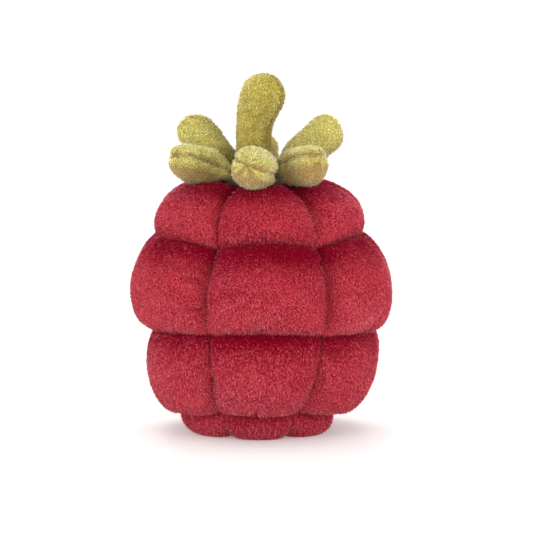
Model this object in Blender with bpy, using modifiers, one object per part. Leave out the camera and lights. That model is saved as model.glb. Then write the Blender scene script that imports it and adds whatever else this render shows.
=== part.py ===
"""Plush raspberry toy: sewn velour panels over a fibre filling, a six-lobed calyx and a stem.

The toy stands on the XY plane with its front towards -Y. Azimuths are in degrees,
0 at the front and growing towards +X. Lengths are in metres.
"""

import math
from collections import namedtuple

import bmesh
import bpy
from mathutils import Vector

MM = 0.001
COLLECTION_NAME = "plush_raspberry"

# Cloth, shared by every cover piece
SEAM_GAP = 0.4 * MM
COVER_THICKNESS = 1.6 * MM
CALYX_THICKNESS = 1.2 * MM
FILLING_CLEARANCE = 0.7 * MM
BODY_CLEARANCE = 1.2 * MM
MERGE_DISTANCE = 0.00001

# Rings of seams round the fruit, from the floor to the crown. Each has the radius and
# height of its corners, what the seam swells outwards and arches upwards between two
# corners, how far it rides up at the front and back, how far its right side is drawn
# in and its left side let out, the angle above level at which the pads beside it
# swell, and the azimuths of its six corners.
Ring = namedtuple("Ring", "radius height swell arch ride skew lean corners")
FLOOR_CORNERS = (-30, 25, 86, 150, 210, 268)
BASE_CORNERS = (-29, 26, 87, 150, 211, 268)
WAIST_CORNERS = (-28, 33, 87, 151, 212, 269)
SHOULDER_CORNERS = (-25, 34, 86, 148, 209, 270)
CROWN_CORNERS = (-28, 31, 90, 150, 210, 270)
FLOOR_RING = Ring(13.0 * MM, 1.0 * MM, 0.2 * MM, 0.0, 0.0, 0.0, -90, FLOOR_CORNERS)
BASE_RING = Ring(25.0 * MM, 7.9 * MM, 0.6 * MM, -0.3 * MM, 2.4 * MM, 1.2 * MM, -44, BASE_CORNERS)
WAIST_RING = Ring(36.6 * MM, 33.9 * MM, 0.7 * MM, 0.8 * MM, 3.0 * MM, -1.0 * MM, -6, WAIST_CORNERS)
SHOULDER_RING = Ring(33.6 * MM, 64.2 * MM, 0.8 * MM, 2.4 * MM, 0.0, 0.7 * MM, 14, SHOULDER_CORNERS)
CROWN_RING = Ring(5.0 * MM, 76.5 * MM, 0.0, 0.0, 0.0, 0.0, 100, CROWN_CORNERS)
COLUMN_COUNT = 6

# Rows of pads between two rings. The bend of a row is the angle that its seams turn
# through, below zero for a row that cups inwards under the fruit, and the barrel is
# what its seams swell between two rings. The crown of a row is how far a pad stands out,
# and its sag sets where: below 1 a pad is fullest low down, above 1 high up.
Row = namedtuple("Row", "name below above bend barrel crown sag")
ROWS = (
    Row("base_panel", FLOOR_RING, BASE_RING, -90, 0.0, 3.3 * MM, 0.8),
    Row("lower_panel", BASE_RING, WAIST_RING, -72, 0.0, 5.1 * MM, 1.5),
    Row("middle_panel", WAIST_RING, SHOULDER_RING, 0, 2.3 * MM, 7.4 * MM, 0.88),
    Row("top_panel", SHOULDER_RING, CROWN_RING, 130, 0.0, 5.1 * MM, 1.0),
)
PAD_SHAPE_ACROSS = (2.3, 0.55)
PAD_SHAPE_UP = (2.0, 0.68)
SIDE_TRIM_LIMIT = 0.3
PANEL_SEGMENTS = 8
FILLING_SEGMENTS = 4

# Underside panel
UNDERSIDE_RADIUS = 12.4 * MM
UNDERSIDE_BEVEL = 0.5 * MM
UNDERSIDE_BEVEL_SEGMENTS = 2
UNDERSIDE_SIDES = 36

# Calyx. A lobe has the azimuth of its root, its length from the calyx centre, the
# pitch of its outer part above level, how far its tip sways towards larger azimuths,
# its girth beside the others', and how full it is left under its tip.
CALYX_CENTRE = Vector((-2.0 * MM, 0.0, 83.9 * MM))
Lobe = namedtuple("Lobe", "azimuth length pitch sway girth belly")
LOBES = (
    Lobe(6, 33.0 * MM, 9, -6.0 * MM, 1.04, 1.0),
    Lobe(48, 33.5 * MM, 10, -2.0 * MM, 1.0, 1.0),
    Lobe(104, 36.2 * MM, 43, -1.5 * MM, 1.0, 1.0),
    Lobe(175, 34.0 * MM, 15, 0.5 * MM, 1.0, 1.0),
    Lobe(238, 35.0 * MM, 48, 2.5 * MM, 1.0, 1.0),
    Lobe(294, 33.5 * MM, 10, 1.5 * MM, 1.0, 0.6),
)
LOBE_WIDTH = 12.4 * MM
LOBE_THICKNESS = 12.2 * MM
LOBE_ROUNDNESS = 2.4
TIP_SHARE = 0.6
TIP_BLUNTNESS = 2.4
ROOT_FLAT = 6.6 * MM
ROOT_REACH = 9.5 * MM
ROOT_SHARE = 1.0 / 3.0
ROOT_PITCH = 38
NOTCH_RUN = 2.0 * MM
PITCH_RUN = 8.0 * MM
SWELL_END = 19.0 * MM
TILT_RUN = 6.0 * MM
PATH_STEP = 0.5 * MM
UNDER_SHARE = 0.8
UNDER_FILL_RATE = 1.4
UNDER_START_RATE = 8.0
REST_CLEARANCE = 0.4 * MM
CROWN_STEPS = 40
LOBE_COLUMNS = 6
LOBE_ROWS = 9
CORE_START = 12.5 * MM
CORE_SIDES = 8
CORE_ROWS = 5
CORE_BELLY = 0.9

# Stem, a club that leans over to the right above its waist
STEM_FOOT = Vector((-2.6 * MM, 0.0, 86.2 * MM))
STEM_TOP_HEIGHT = 119.8 * MM
STEM_RADIUS = 5.7 * MM
STEM_HEAD_RADIUS = 7.2 * MM
STEM_DOME_HEIGHT = 7.6 * MM
STEM_LEAN = Vector((3.4 * MM, -2.0 * MM, 0.0))
STEM_LEAN_RANGE = (99.0 * MM, 115.0 * MM)
STEM_SWELL_RANGE = (101.0 * MM, 111.0 * MM)
STEM_SEAM_AZIMUTH = 62
STEM_SIDE_SEGMENTS = 12
STEM_RISE_SEGMENTS = 10

# Finishes: colour, roughness and sheen
Finish = namedtuple("Finish", "colour roughness sheen")
CRIMSON_VELOUR = Finish((0.40, 0.030, 0.048, 1.0), 0.85, 0.6)
LEAF_VELOUR = Finish((0.46, 0.40, 0.12, 1.0), 0.85, 0.5)
STEM_VELOUR = Finish((0.36, 0.31, 0.08, 1.0), 0.88, 0.5)
FILLING_FIBRE = Finish((0.85, 0.84, 0.80, 1.0), 0.95, 0.0)


def clear_scene():
    """Take every object out of the scene."""
    for scene_object in list(bpy.data.objects):
        bpy.data.objects.remove(scene_object, do_unlink=True)


def make_collection(name):
    """Return a collection for the toy's pieces."""
    collection = bpy.data.collections.new(name)
    bpy.context.scene.collection.children.link(collection)
    return collection


def make_material(name, finish):
    """Return a Principled material with a finish's colour, roughness and sheen."""
    material = bpy.data.materials.new(name)
    material.use_nodes = True
    shader = material.node_tree.nodes["Principled BSDF"]
    shader.inputs["Base Color"].default_value = finish.colour
    shader.inputs["Roughness"].default_value = finish.roughness
    shader.inputs["Metallic"].default_value = 0.0
    shader.inputs["Sheen Weight"].default_value = finish.sheen
    material.diffuse_color = finish.colour
    return material


def add_object(name, bm, finish, collection):
    """Turn a bmesh into a smooth-shaded object of the collection."""
    mesh = bpy.data.meshes.new(name)
    bm.to_mesh(mesh)
    bm.free()
    mesh.shade_smooth()
    mesh.materials.append(make_material(name + "_finish", finish))
    piece = bpy.data.objects.new(name, mesh)
    collection.objects.link(piece)
    return piece


def add_cloth_thickness(piece, thickness):
    """Thicken an open sheet inwards."""
    solidify = piece.modifiers.new("Cloth", "SOLIDIFY")
    solidify.thickness = thickness
    solidify.offset = -1.0
    solidify.use_even_offset = False


def close_lump(bm):
    """Weld a rolled-up sheet along its edge, and close its two ends."""
    bmesh.ops.remove_doubles(bm, verts=bm.verts, dist=MERGE_DISTANCE)
    bmesh.ops.holes_fill(bm, edges=[edge for edge in bm.edges if edge.is_boundary], sides=0)
    bmesh.ops.recalc_face_normals(bm, faces=bm.faces)


def blend(start, end, share):
    """Return the value that lies a share of the way from start to end."""
    return start + (end - start) * share


def smooth_step(value):
    """Ease from 0 to 1 while the value goes from 0 to 1."""
    share = min(max(value, 0.0), 1.0)
    return share * share * (3.0 - 2.0 * share)


def around(radius, azimuth, height):
    """Return the point at a radius, an azimuth in degrees and a height."""
    angle = math.radians(azimuth)
    return Vector((radius * math.sin(angle), -radius * math.cos(angle), height))


def shaped_grid(columns, rows, place):
    """Return a sheet of squares whose point (u, v), each 0 to 1, is at place(u, v)."""
    bm = bmesh.new()
    bmesh.ops.create_grid(bm, x_segments=columns, y_segments=rows, size=0.5)
    for vertex in bm.verts:
        vertex.co = place(vertex.co.x + 0.5, vertex.co.y + 0.5)
    return bm


def crowded_to_ends(share):
    """Spread an even share so that it crowds towards 0 and 1."""
    return 0.5 - 0.5 * math.cos(math.pi * share)


def pad_height(share, shape):
    """Return the height of a pad, 0 at its two seams and 1 between them."""
    roundness, steepness = shape
    reach = abs(2.0 * share - 1.0)
    return max(1.0 - reach ** roundness, 0.0) ** steepness


def ring_corner(ring, seam):
    """Return the azimuth of a ring's corner, with whole turns for seams past the last."""
    turns, index = divmod(seam, COLUMN_COUNT)
    return ring.corners[index] + 360.0 * turns


def ring_point(ring, column, across):
    """Return the radius and height of a ring's seam across a column."""
    azimuth = blend(ring_corner(ring, column), ring_corner(ring, column + 1), across)
    rise = 4.0 * across * (1.0 - across)
    ride = ring.ride * math.cos(math.radians(azimuth)) ** 2
    skew = ring.skew * math.sin(math.radians(azimuth))
    return ring.radius + ring.swell * rise - skew, ring.height + ring.arch * rise + ride


def row_shares(row, up):
    """Return how far in radius and in height a row's seams have got at a share of the row."""
    if row.bend == 0:
        return up, up
    turned = math.radians(abs(row.bend)) * up
    end = math.radians(abs(row.bend))
    level, upright = (1.0 - math.cos(turned)) / (1.0 - math.cos(end)), math.sin(turned) / math.sin(end)
    return (level, upright) if row.bend > 0 else (upright, level)


def cover_point(row, column, across, up, depth):
    """Return a point of a pad's surface, or of the surface a depth below it.

    Across and up run from 0 to 1 between the pad's seams. The sheet keeps half a seam
    gap plus the depth to each seam, so that neighbours never meet.
    """
    length = math.hypot(row.above.radius - row.below.radius, row.above.height - row.below.height)
    inset = SEAM_GAP / 2.0 + depth
    trimmed_up = blend(inset / length, 1.0 - inset / length, up)
    radius_share, height_share = row_shares(row, trimmed_up)
    low_radius, low_height = ring_point(row.below, column, across)
    high_radius, high_height = ring_point(row.above, column, across)
    radius = blend(low_radius, high_radius, radius_share) + 4.0 * row.barrel * trimmed_up * (1.0 - trimmed_up)
    height = blend(low_height, high_height, height_share)
    left = blend(ring_corner(row.below, column), ring_corner(row.above, column), trimmed_up)
    right = blend(ring_corner(row.below, column + 1), ring_corner(row.above, column + 1), trimmed_up)
    width = radius * math.radians(right - left)
    side = min(inset / width, SIDE_TRIM_LIMIT)
    azimuth = blend(left, right, blend(side, 1.0 - side, across))
    lean = math.radians(blend(row.below.lean, row.above.lean, trimmed_up))
    stand = row.crown * pad_height(across, PAD_SHAPE_ACROSS) * pad_height(up ** row.sag, PAD_SHAPE_UP) - depth
    height = max(height + stand * math.sin(lean), depth)
    return around(radius + stand * math.cos(lean), azimuth, height)


def make_cover_panel(row, column, collection):
    """Make one panel of the cover, a crowned sheet between four seams."""

    def place(u, v):
        return cover_point(row, column, crowded_to_ends(u), crowded_to_ends(v), 0.0)

    bm = shaped_grid(PANEL_SEGMENTS, PANEL_SEGMENTS, place)
    name = "{}_{}".format(row.name, column + 1)
    panel = add_object(name, bm, CRIMSON_VELOUR, collection)
    add_cloth_thickness(panel, COVER_THICKNESS)


def make_body_filling(collection):
    """Make the filling, one closed lump that follows the inside of every panel."""
    points = FILLING_SEGMENTS + 1
    columns, rows = COLUMN_COUNT * points, len(ROWS) * points - 1
    depth = COVER_THICKNESS + BODY_CLEARANCE

    def place(u, v):
        column, step = divmod(round(u * columns) % columns, points)
        level, rise = divmod(round(v * rows), points)
        across = crowded_to_ends(step / FILLING_SEGMENTS)
        up = crowded_to_ends(rise / FILLING_SEGMENTS)
        return cover_point(ROWS[level], column, across, up, depth)

    bm = shaped_grid(columns, rows, place)
    close_lump(bm)
    add_object("body_filling", bm, FILLING_FIBRE, collection)


def make_underside_panel(collection):
    """Make the round piece that closes the cover on the floor."""
    bm = bmesh.new()
    bmesh.ops.create_cone(
        bm,
        cap_ends=True,
        segments=UNDERSIDE_SIDES,
        radius1=UNDERSIDE_RADIUS,
        radius2=UNDERSIDE_RADIUS,
        depth=COVER_THICKNESS,
    )
    bmesh.ops.translate(bm, verts=bm.verts, vec=(0.0, 0.0, COVER_THICKNESS / 2.0))
    panel = add_object("underside_panel", bm, CRIMSON_VELOUR, collection)
    bevel = panel.modifiers.new("Rounded edge", "BEVEL")
    bevel.width = UNDERSIDE_BEVEL
    bevel.segments = UNDERSIDE_BEVEL_SEGMENTS
    bevel.limit_method = "ANGLE"


def neighbour_half_angle(index, step):
    """Return half the angle between a lobe's root and the next one's, in radians."""
    other = LOBES[(index + step) % len(LOBES)].azimuth
    gap = (other - LOBES[index].azimuth) * step % 360
    return math.radians(gap / 2.0)


def lobe_slope(lobe, reach):
    """Return the angle above level, in radians, at a distance along a lobe."""
    if reach < ROOT_FLAT:
        return 0.0
    outer = smooth_step((reach - ROOT_REACH) / PITCH_RUN)
    return math.radians(blend(ROOT_PITCH, lobe.pitch, outer))


def lobe_path(lobe, reach):
    """Return how far out and how far up a lobe's seam plane has got at a reach."""
    steps = max(1, math.ceil(reach / PATH_STEP))
    step = reach / steps
    slopes = [lobe_slope(lobe, (index + 0.5) * step) for index in range(steps)]
    return step * sum(math.cos(slope) for slope in slopes), step * sum(math.sin(slope) for slope in slopes)


def lobe_tip_share(lobe, reach, inset):
    """Return how much of a lobe's section is left where it rounds off to its tip."""
    tip = lobe.length - inset
    start = tip - LOBE_WIDTH * TIP_SHARE
    past = min(max((reach - start) / (tip - start), 0.0), 1.0)
    return (1.0 - past ** TIP_BLUNTNESS) ** 0.5


def lobe_half_width(index, side, reach):
    """Return a lobe's half width on one side, shared with its neighbour in the root."""
    wedge = lobe_path(LOBES[index], reach)[0] * math.tan(neighbour_half_angle(index, side))
    if reach <= ROOT_REACH:
        return wedge
    free = wedge - SEAM_GAP * smooth_step((reach - ROOT_REACH) / NOTCH_RUN)
    full = LOBE_WIDTH / 2.0 * LOBES[index].girth * lobe_tip_share(LOBES[index], reach, 0.0)
    return min(blend(free, full, smooth_step((reach - ROOT_REACH) / PITCH_RUN)), free)


def lobe_half_thickness(lobe, reach):
    """Return how far the cloth stands from the seam plane along a lobe's middle."""
    swelling = smooth_step((reach - ROOT_REACH) / (SWELL_END - ROOT_REACH))
    return blend(CALYX_THICKNESS, LOBE_THICKNESS / 2.0 * lobe.girth, swelling)


def lobe_place(lobe, reach, offset, stand):
    """Return the point at a reach along a lobe, an offset across it and a stand off its plane."""
    out, up = lobe_path(lobe, reach)
    tilt = lobe_slope(lobe, reach) * smooth_step((reach - ROOT_REACH) / TILT_RUN)
    past = max(reach - ROOT_REACH, 0.0) / (lobe.length - ROOT_REACH)
    angle = math.radians(lobe.azimuth)
    outwards = Vector((math.sin(angle), -math.cos(angle), 0.0))
    sideways = Vector((math.cos(angle), math.sin(angle), 0.0))
    level = outwards * (out - stand * math.sin(tilt)) + sideways * (offset + lobe.sway * past * past)
    return CALYX_CENTRE + level + Vector((0.0, 0.0, up + stand * math.cos(tilt)))


def rest_on_crown(point, clearance):
    """Lift a point of the calyx's underside off the top pads that it rests on."""
    resting = crown_height(math.hypot(point.x, point.y)) + REST_CLEARANCE + clearance
    point.z = max(point.z, resting)
    return point


def layer_point(index, across, along, face, depth):
    """Return a point of the upper (face 1) or under (face -1) layer of a lobe.

    Across runs from -1 to 1 and along from 0 at the calyx centre to 1 at the tip.
    The depth is 0 on the outside of the cloth and its thickness on the inside.
    """
    lobe = LOBES[index]
    reach = lobe_reach(lobe, along)
    side = 1 if across > 0 else -1
    pinch = smooth_step((reach - ROOT_FLAT) / (ROOT_REACH - ROOT_FLAT))
    crown = max(1.0 - pinch * abs(across) ** LOBE_ROUNDNESS, 0.0) ** 0.5
    blunt = lobe_tip_share(lobe, reach, 0.0)
    share = 1.0 if face > 0 else under_share(lobe, reach)
    stand = max(lobe_half_thickness(lobe, reach) * crown * blunt * share - depth, 0.0)
    offset = across * lobe_half_width(index, side, reach)
    point = lobe_place(lobe, reach, offset, face * (SEAM_GAP / 2.0 + stand))
    return rest_on_crown(point, depth) if face < 0 else point


def under_share(lobe, reach):
    """Return how full the underside of a lobe is beside its upper side."""
    past = (reach - ROOT_REACH) / (lobe.length - ROOT_REACH)
    outer = blend(UNDER_SHARE, 1.0, smooth_step(past * UNDER_FILL_RATE))
    tip = blend(1.0, lobe.belly, smooth_step(2.0 * past - 1.0))
    return blend(1.0, outer, smooth_step(past * UNDER_START_RATE)) * tip


def lobe_reach(lobe, along):
    """Return the distance from the calyx centre, with even steps in the shared root."""
    if along <= ROOT_SHARE:
        return ROOT_REACH * along / ROOT_SHARE
    outer = (along - ROOT_SHARE) / (1.0 - ROOT_SHARE)
    return blend(ROOT_REACH, lobe.length, math.sin(outer * math.pi / 2.0))


def join_sheets(sheets):
    """Return one bmesh of several sheets, welded where their edges meet."""
    joined = bmesh.new()
    for sheet in sheets:
        mesh = bpy.data.meshes.new("sheet")
        sheet.to_mesh(mesh)
        sheet.free()
        joined.from_mesh(mesh)
        bpy.data.meshes.remove(mesh)
    bmesh.ops.remove_doubles(joined, verts=joined.verts, dist=MERGE_DISTANCE)
    return joined


def make_star(face, depth):
    """Return one skin of a calyx layer, six lobes joined in the middle."""
    lobes = []
    for index in range(len(LOBES)):

        def place(u, v, index=index):
            return layer_point(index, math.sin((u - 0.5) * math.pi), v, face, depth)

        lobes.append(shaped_grid(LOBE_COLUMNS, LOBE_ROWS, place))
    return join_sheets(lobes)


def make_calyx_layers(collection):
    """Make the two layers of velour that are sewn together round the star's edge."""
    for name, face in (("calyx_upper_layer", 1), ("calyx_under_layer", -1)):
        bm = join_sheets([make_star(face, 0.0), make_star(face, CALYX_THICKNESS)])
        bmesh.ops.recalc_face_normals(bm, faces=bm.faces)
        add_object(name, bm, LEAF_VELOUR, collection)


def make_lobe_filling(index, collection):
    """Make the filling of one lobe, a closed finger inside both layers."""
    lobe = LOBES[index]
    inset = CALYX_THICKNESS + FILLING_CLEARANCE

    def place(u, v):
        turn = 2.0 * math.pi * u
        across, face = math.cos(turn), 1.0 if u < 0.5 else -1.0
        reach = blend(CORE_START, lobe.length - inset, math.sin(v * math.pi / 2.0))
        tip = lobe_tip_share(lobe, reach, inset)
        side = 1 if across > 0 else -1
        half = min(lobe_half_width(index, side, reach), LOBE_WIDTH / 2.0 * lobe.girth) - inset
        crown = max(1.0 - abs(across) ** LOBE_ROUNDNESS, 0.0) ** 0.5
        share = 1.0 if face > 0 else under_share(lobe, reach)
        stand = (lobe_half_thickness(lobe, reach) * share - inset) * crown * tip
        point = lobe_place(lobe, reach, across * max(half, 0.0) * tip, face * stand)
        return rest_on_crown(point, inset) if face < 0 and abs(across) < CORE_BELLY else point

    bm = shaped_grid(CORE_SIDES, CORE_ROWS, place)
    close_lump(bm)
    add_object("lobe_filling_{}".format(index + 1), bm, FILLING_FIBRE, collection)


def crown_height(radius):
    """Return the height of the fruit's top pads along their middle line."""
    row = ROWS[-1]
    outer = cover_point(row, 0, 0.5, 0.0, 0.0)
    for step in range(1, CROWN_STEPS + 1):
        inner = cover_point(row, 0, 0.5, step / CROWN_STEPS, 0.0)
        near, far = math.hypot(inner.x, inner.y), math.hypot(outer.x, outer.y)
        if near <= radius <= far:
            return blend(outer.z, inner.z, (far - radius) / (far - near))
        outer = inner
    return CROWN_RING.height


def share_between(value, limits):
    """Return an eased share of the way between two limits."""
    return smooth_step((value - limits[0]) / (limits[1] - limits[0]))


def stem_point(angle, height, inset):
    """Return a point of the stem's skin, or of the skin an inset below it."""
    centre = STEM_FOOT + STEM_LEAN * share_between(height, STEM_LEAN_RANGE)
    radius = blend(STEM_RADIUS, STEM_HEAD_RADIUS, share_between(height, STEM_SWELL_RANGE)) - inset
    dome_start = STEM_TOP_HEIGHT - STEM_DOME_HEIGHT
    over = min(max((height - dome_start) / (STEM_DOME_HEIGHT - inset), 0.0), 1.0)
    return around(radius * math.sqrt(1.0 - over * over), angle, height) + Vector((centre.x, centre.y, 0.0))


def stem_height(share, inset):
    """Return a height on the stem, with the steps closing up towards the top."""
    foot = STEM_FOOT.z + inset
    return blend(foot, STEM_TOP_HEIGHT - inset, math.sin(share * math.pi / 2.0))


def make_stem_cover(name, start, collection):
    """Make half of the stem's cover, from one seam round to the other."""
    seam = math.radians(start + 90.0)
    clear = Vector((math.sin(seam), -math.cos(seam), 0.0)) * SEAM_GAP / 2.0

    def place(u, v):
        return stem_point(start + 180.0 * u, stem_height(v, 0.0), 0.0) + clear

    bm = shaped_grid(STEM_SIDE_SEGMENTS, STEM_RISE_SEGMENTS, place)
    bmesh.ops.remove_doubles(bm, verts=bm.verts, dist=MERGE_DISTANCE)
    cover = add_object(name, bm, STEM_VELOUR, collection)
    add_cloth_thickness(cover, CALYX_THICKNESS)


def make_stem_filling(collection):
    """Make the filling of the stem, one closed club."""
    inset = CALYX_THICKNESS + FILLING_CLEARANCE

    def place(u, v):
        return stem_point(360.0 * u, stem_height(v, inset), inset)

    bm = shaped_grid(2 * STEM_SIDE_SEGMENTS, STEM_RISE_SEGMENTS, place)
    close_lump(bm)
    add_object("stem_filling", bm, FILLING_FIBRE, collection)


def build():
    """Build the whole toy."""
    clear_scene()
    collection = make_collection(COLLECTION_NAME)
    for row in ROWS:
        for column in range(COLUMN_COUNT):
            make_cover_panel(row, column, collection)
    make_underside_panel(collection)
    make_body_filling(collection)
    make_calyx_layers(collection)
    for index in range(len(LOBES)):
        make_lobe_filling(index, collection)
    make_stem_cover("stem_cover_right", STEM_SEAM_AZIMUTH - 180, collection)
    make_stem_cover("stem_cover_left", STEM_SEAM_AZIMUTH, collection)
    make_stem_filling(collection)


build()
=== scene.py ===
"""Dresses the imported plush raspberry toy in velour, with its seams, stage and light.

The toy stands on the XY plane with its front towards -Y. Azimuths are in degrees, 0 at
the front and growing towards +X. Lengths are in metres, except where a name ends in _mm.
"""

from __future__ import annotations

import logging
import math
from dataclasses import dataclass, field
from enum import Enum
from typing import Any, Callable, Mapping, Sequence

import bmesh
import bpy
import numpy as np
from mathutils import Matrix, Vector


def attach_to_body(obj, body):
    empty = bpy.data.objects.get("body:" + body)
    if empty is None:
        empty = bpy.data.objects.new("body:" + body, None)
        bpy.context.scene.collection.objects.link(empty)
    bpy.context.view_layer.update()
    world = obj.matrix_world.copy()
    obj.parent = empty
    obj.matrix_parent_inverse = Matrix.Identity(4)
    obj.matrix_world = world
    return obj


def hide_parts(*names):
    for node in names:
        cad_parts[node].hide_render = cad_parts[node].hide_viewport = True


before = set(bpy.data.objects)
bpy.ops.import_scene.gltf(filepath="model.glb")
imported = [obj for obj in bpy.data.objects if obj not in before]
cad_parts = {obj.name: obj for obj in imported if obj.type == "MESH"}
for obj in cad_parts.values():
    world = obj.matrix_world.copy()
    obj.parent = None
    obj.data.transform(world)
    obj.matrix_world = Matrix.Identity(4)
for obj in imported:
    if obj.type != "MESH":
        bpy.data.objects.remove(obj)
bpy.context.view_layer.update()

LOG = logging.getLogger("plush_raspberry")
MM = 0.001
BODY = "root"
NAP = "nap"
PILE = "pile"
UV_NAME = "OFBake"
WELD = 1e-7
WHITE = (1.0, 1.0, 1.0, 1.0)

Array = np.ndarray
Colour = tuple[float, float, float]
Pair = tuple[float, float]
Box = tuple[Pair, Pair]


class Slot(Enum):
    """The material slots of the record."""

    CRIMSON = "crimson_velour"
    LEAF = "leaf_velour"
    STEM = "stem_velour"
    FIBRE = "filling_fibre"


class Face(Enum):
    """The two layers of the calyx, by the side of the seam plane that each is on."""

    UPPER = 1
    UNDER = -1


# Numbers


def blend(start: Any, end: Any, share: Any) -> Any:
    """Return the value that lies a share of the way from start to end."""
    return start + (end - start) * share


def smooth_step(value: Array) -> Array:
    """Ease from 0 to 1 while the value goes from 0 to 1."""
    share = np.clip(value, 0.0, 1.0)
    return share * share * (3.0 - 2.0 * share)


def bell(distance: Array, width: float) -> Array:
    """Return 1 at no distance, falling off smoothly over a width."""
    return np.exp(-np.square(distance / width))


def around(radius: Array, azimuth: Array, height: Array) -> Array:
    """Return points at a radius, an azimuth in degrees and a height.

    Args:
        radius: Distance from the toy's axis.
        azimuth: Angle from the front, in degrees.
        height: Height above the floor.

    Returns:
        An array with x, y and z in its last place.
    """
    angle = np.radians(azimuth)
    level = np.broadcast_arrays(radius * np.sin(angle), -radius * np.cos(angle), height)
    return np.stack(level, axis=-1)


def unit(vectors: Array, least: float = 1e-12) -> Array:
    """Return vectors at length 1, or at 0 where they have none."""
    return vectors / np.maximum(np.linalg.norm(vectors, axis=-1, keepdims=True), least)


def sheet_normals(points: Array) -> Array:
    """Return the unit normals of a grid of points, on the side that its faces show."""
    return unit(np.cross(np.gradient(points, axis=1), np.gradient(points, axis=0)))


def cubic_weights(coarse: int, fine: Array) -> Array:
    """Return the weights that read a row of coarse values at fine places.

    Args:
        coarse: Number of coarse values, spread evenly from 0 to 1.
        fine: Places to read at, from 0 to 1.

    Returns:
        A matrix with one row for each fine place and one column for each coarse value.
    """
    place = np.clip(fine, 0.0, 1.0) * (coarse - 1)
    base = np.minimum(place.astype(int), coarse - 2)
    t = place - base
    shares = (
        -0.5 * t + t**2 - 0.5 * t**3,
        1.0 - 2.5 * t**2 + 1.5 * t**3,
        0.5 * t + 2.0 * t**2 - 1.5 * t**3,
        -0.5 * t**2 + 0.5 * t**3,
    )
    weights = np.zeros((len(fine), coarse))
    for step, share in enumerate(shares):
        column = np.clip(base + step - 1, 0, coarse - 1)
        np.add.at(weights, (np.arange(len(fine)), column), share)
    return weights


@dataclass(frozen=True)
class Grain:
    """Seeded smooth noise over flat cloth, from -1 to 1."""

    seed: int
    size: int = 256

    def at(self, s: Array, t: Array) -> Array:
        """Return the noise at places whose unit is the size of one bump."""
        values = np.random.default_rng(self.seed).uniform(-1.0, 1.0, (self.size, self.size))
        column, row = np.floor(s).astype(int), np.floor(t).astype(int)
        right, up = smooth_step(s - column), smooth_step(t - row)
        corner = [
            [values[(row + dr) % self.size, (column + dc) % self.size] for dc in (0, 1)]
            for dr in (0, 1)
        ]
        low = blend(corner[0][0], corner[0][1], right)
        high = blend(corner[1][0], corner[1][1], right)
        return blend(low, high, up)

    def ridges(self, s: Array, t: Array, sharpness: float) -> Array:
        """Return thin crests, 1 on a crest and 0 away from it."""
        return (1.0 - np.abs(self.at(s, t))) ** sharpness


# Materials


class Link:
    """A value or colour inside a material, with Python's operators on it."""

    def __init__(self, sheet: "NodeSheet", socket: bpy.types.NodeSocket) -> None:
        """Keep the socket and the sheet that it is on."""
        self.sheet = sheet
        self.socket = socket

    def _math(self, operation: str, first: Any, second: Any) -> "Link":
        """Return the result of a Math node."""
        return self.sheet.add("ShaderNodeMath", {"operation": operation}, {0: first, 1: second})

    def __add__(self, other: Any) -> "Link":
        """Return self + other."""
        return self._math("ADD", self, other)

    def __sub__(self, other: Any) -> "Link":
        """Return self - other."""
        return self._math("SUBTRACT", self, other)

    def __rsub__(self, other: Any) -> "Link":
        """Return other - self."""
        return self._math("SUBTRACT", other, self)

    def __mul__(self, other: Any) -> "Link":
        """Return self * other."""
        return self._math("MULTIPLY", self, other)

    def __truediv__(self, other: Any) -> "Link":
        """Return self / other."""
        return self._math("DIVIDE", self, other)

    def clamped(self) -> "Link":
        """Return the value held between 0 and 1."""
        return self.sheet.add("ShaderNodeClamp", {}, {0: self})


class NodeSheet:
    """The node tree of one material."""

    MIX_FACTOR, MIX_A, MIX_B, MIX_COLOUR = 0, 6, 7, 2

    def __init__(self, tree: bpy.types.NodeTree) -> None:
        """Start on an empty tree."""
        self.tree = tree
        tree.nodes.clear()

    def add(
        self,
        kind: str,
        settings: Mapping[str, Any],
        inputs: Mapping[Any, Any],
        output: int | str = 0,
    ) -> Link:
        """Add a node.

        Args:
            kind: The node's type.
            settings: Values set on the node.
            inputs: Values or links for its sockets, by index or name.
            output: The socket to return.

        Returns:
            The node's output as a link.
        """
        node = self.tree.nodes.new(kind)
        for name, value in settings.items():
            setattr(node, name, value)
        for key, value in inputs.items():
            if isinstance(value, Link):
                self.tree.links.new(value.socket, node.inputs[key])
            else:
                node.inputs[key].default_value = value
        return Link(self, node.outputs[output]) if len(node.outputs) else None

    def mix(self, share: Any, low: Any, high: Any) -> Link:
        """Return a colour between two colours."""
        ends = [(*end, 1.0) if isinstance(end, tuple) else end for end in (low, high)]
        inputs = {self.MIX_FACTOR: share, self.MIX_A: ends[0], self.MIX_B: ends[1]}
        return self.add("ShaderNodeMix", {"data_type": "RGBA"}, inputs, self.MIX_COLOUR)

    def split(self, vector: Link) -> list[Link]:
        """Return the three parts of a vector."""
        return [self.add("ShaderNodeSeparateXYZ", {}, {0: vector}, part) for part in range(3)]

    def flat_noise(self, s: Link, t: Link, detail: float, twist: float) -> Link:
        """Return noise from 0 to 1 over two flat coordinates."""
        place = self.add("ShaderNodeCombineXYZ", {}, {0: s, 1: t})
        inputs = {"Vector": place, "Scale": 1.0, "Detail": detail, "Distortion": twist}
        return self.add("ShaderNodeTexNoise", {"noise_dimensions": "2D"}, inputs)

    def relief(self, strength: float, distance: float, height: Link) -> Link:
        """Return the normal of a bump."""
        return self.add("ShaderNodeBump", {}, {"Strength": strength, "Distance": distance, "Height": height})


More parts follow.
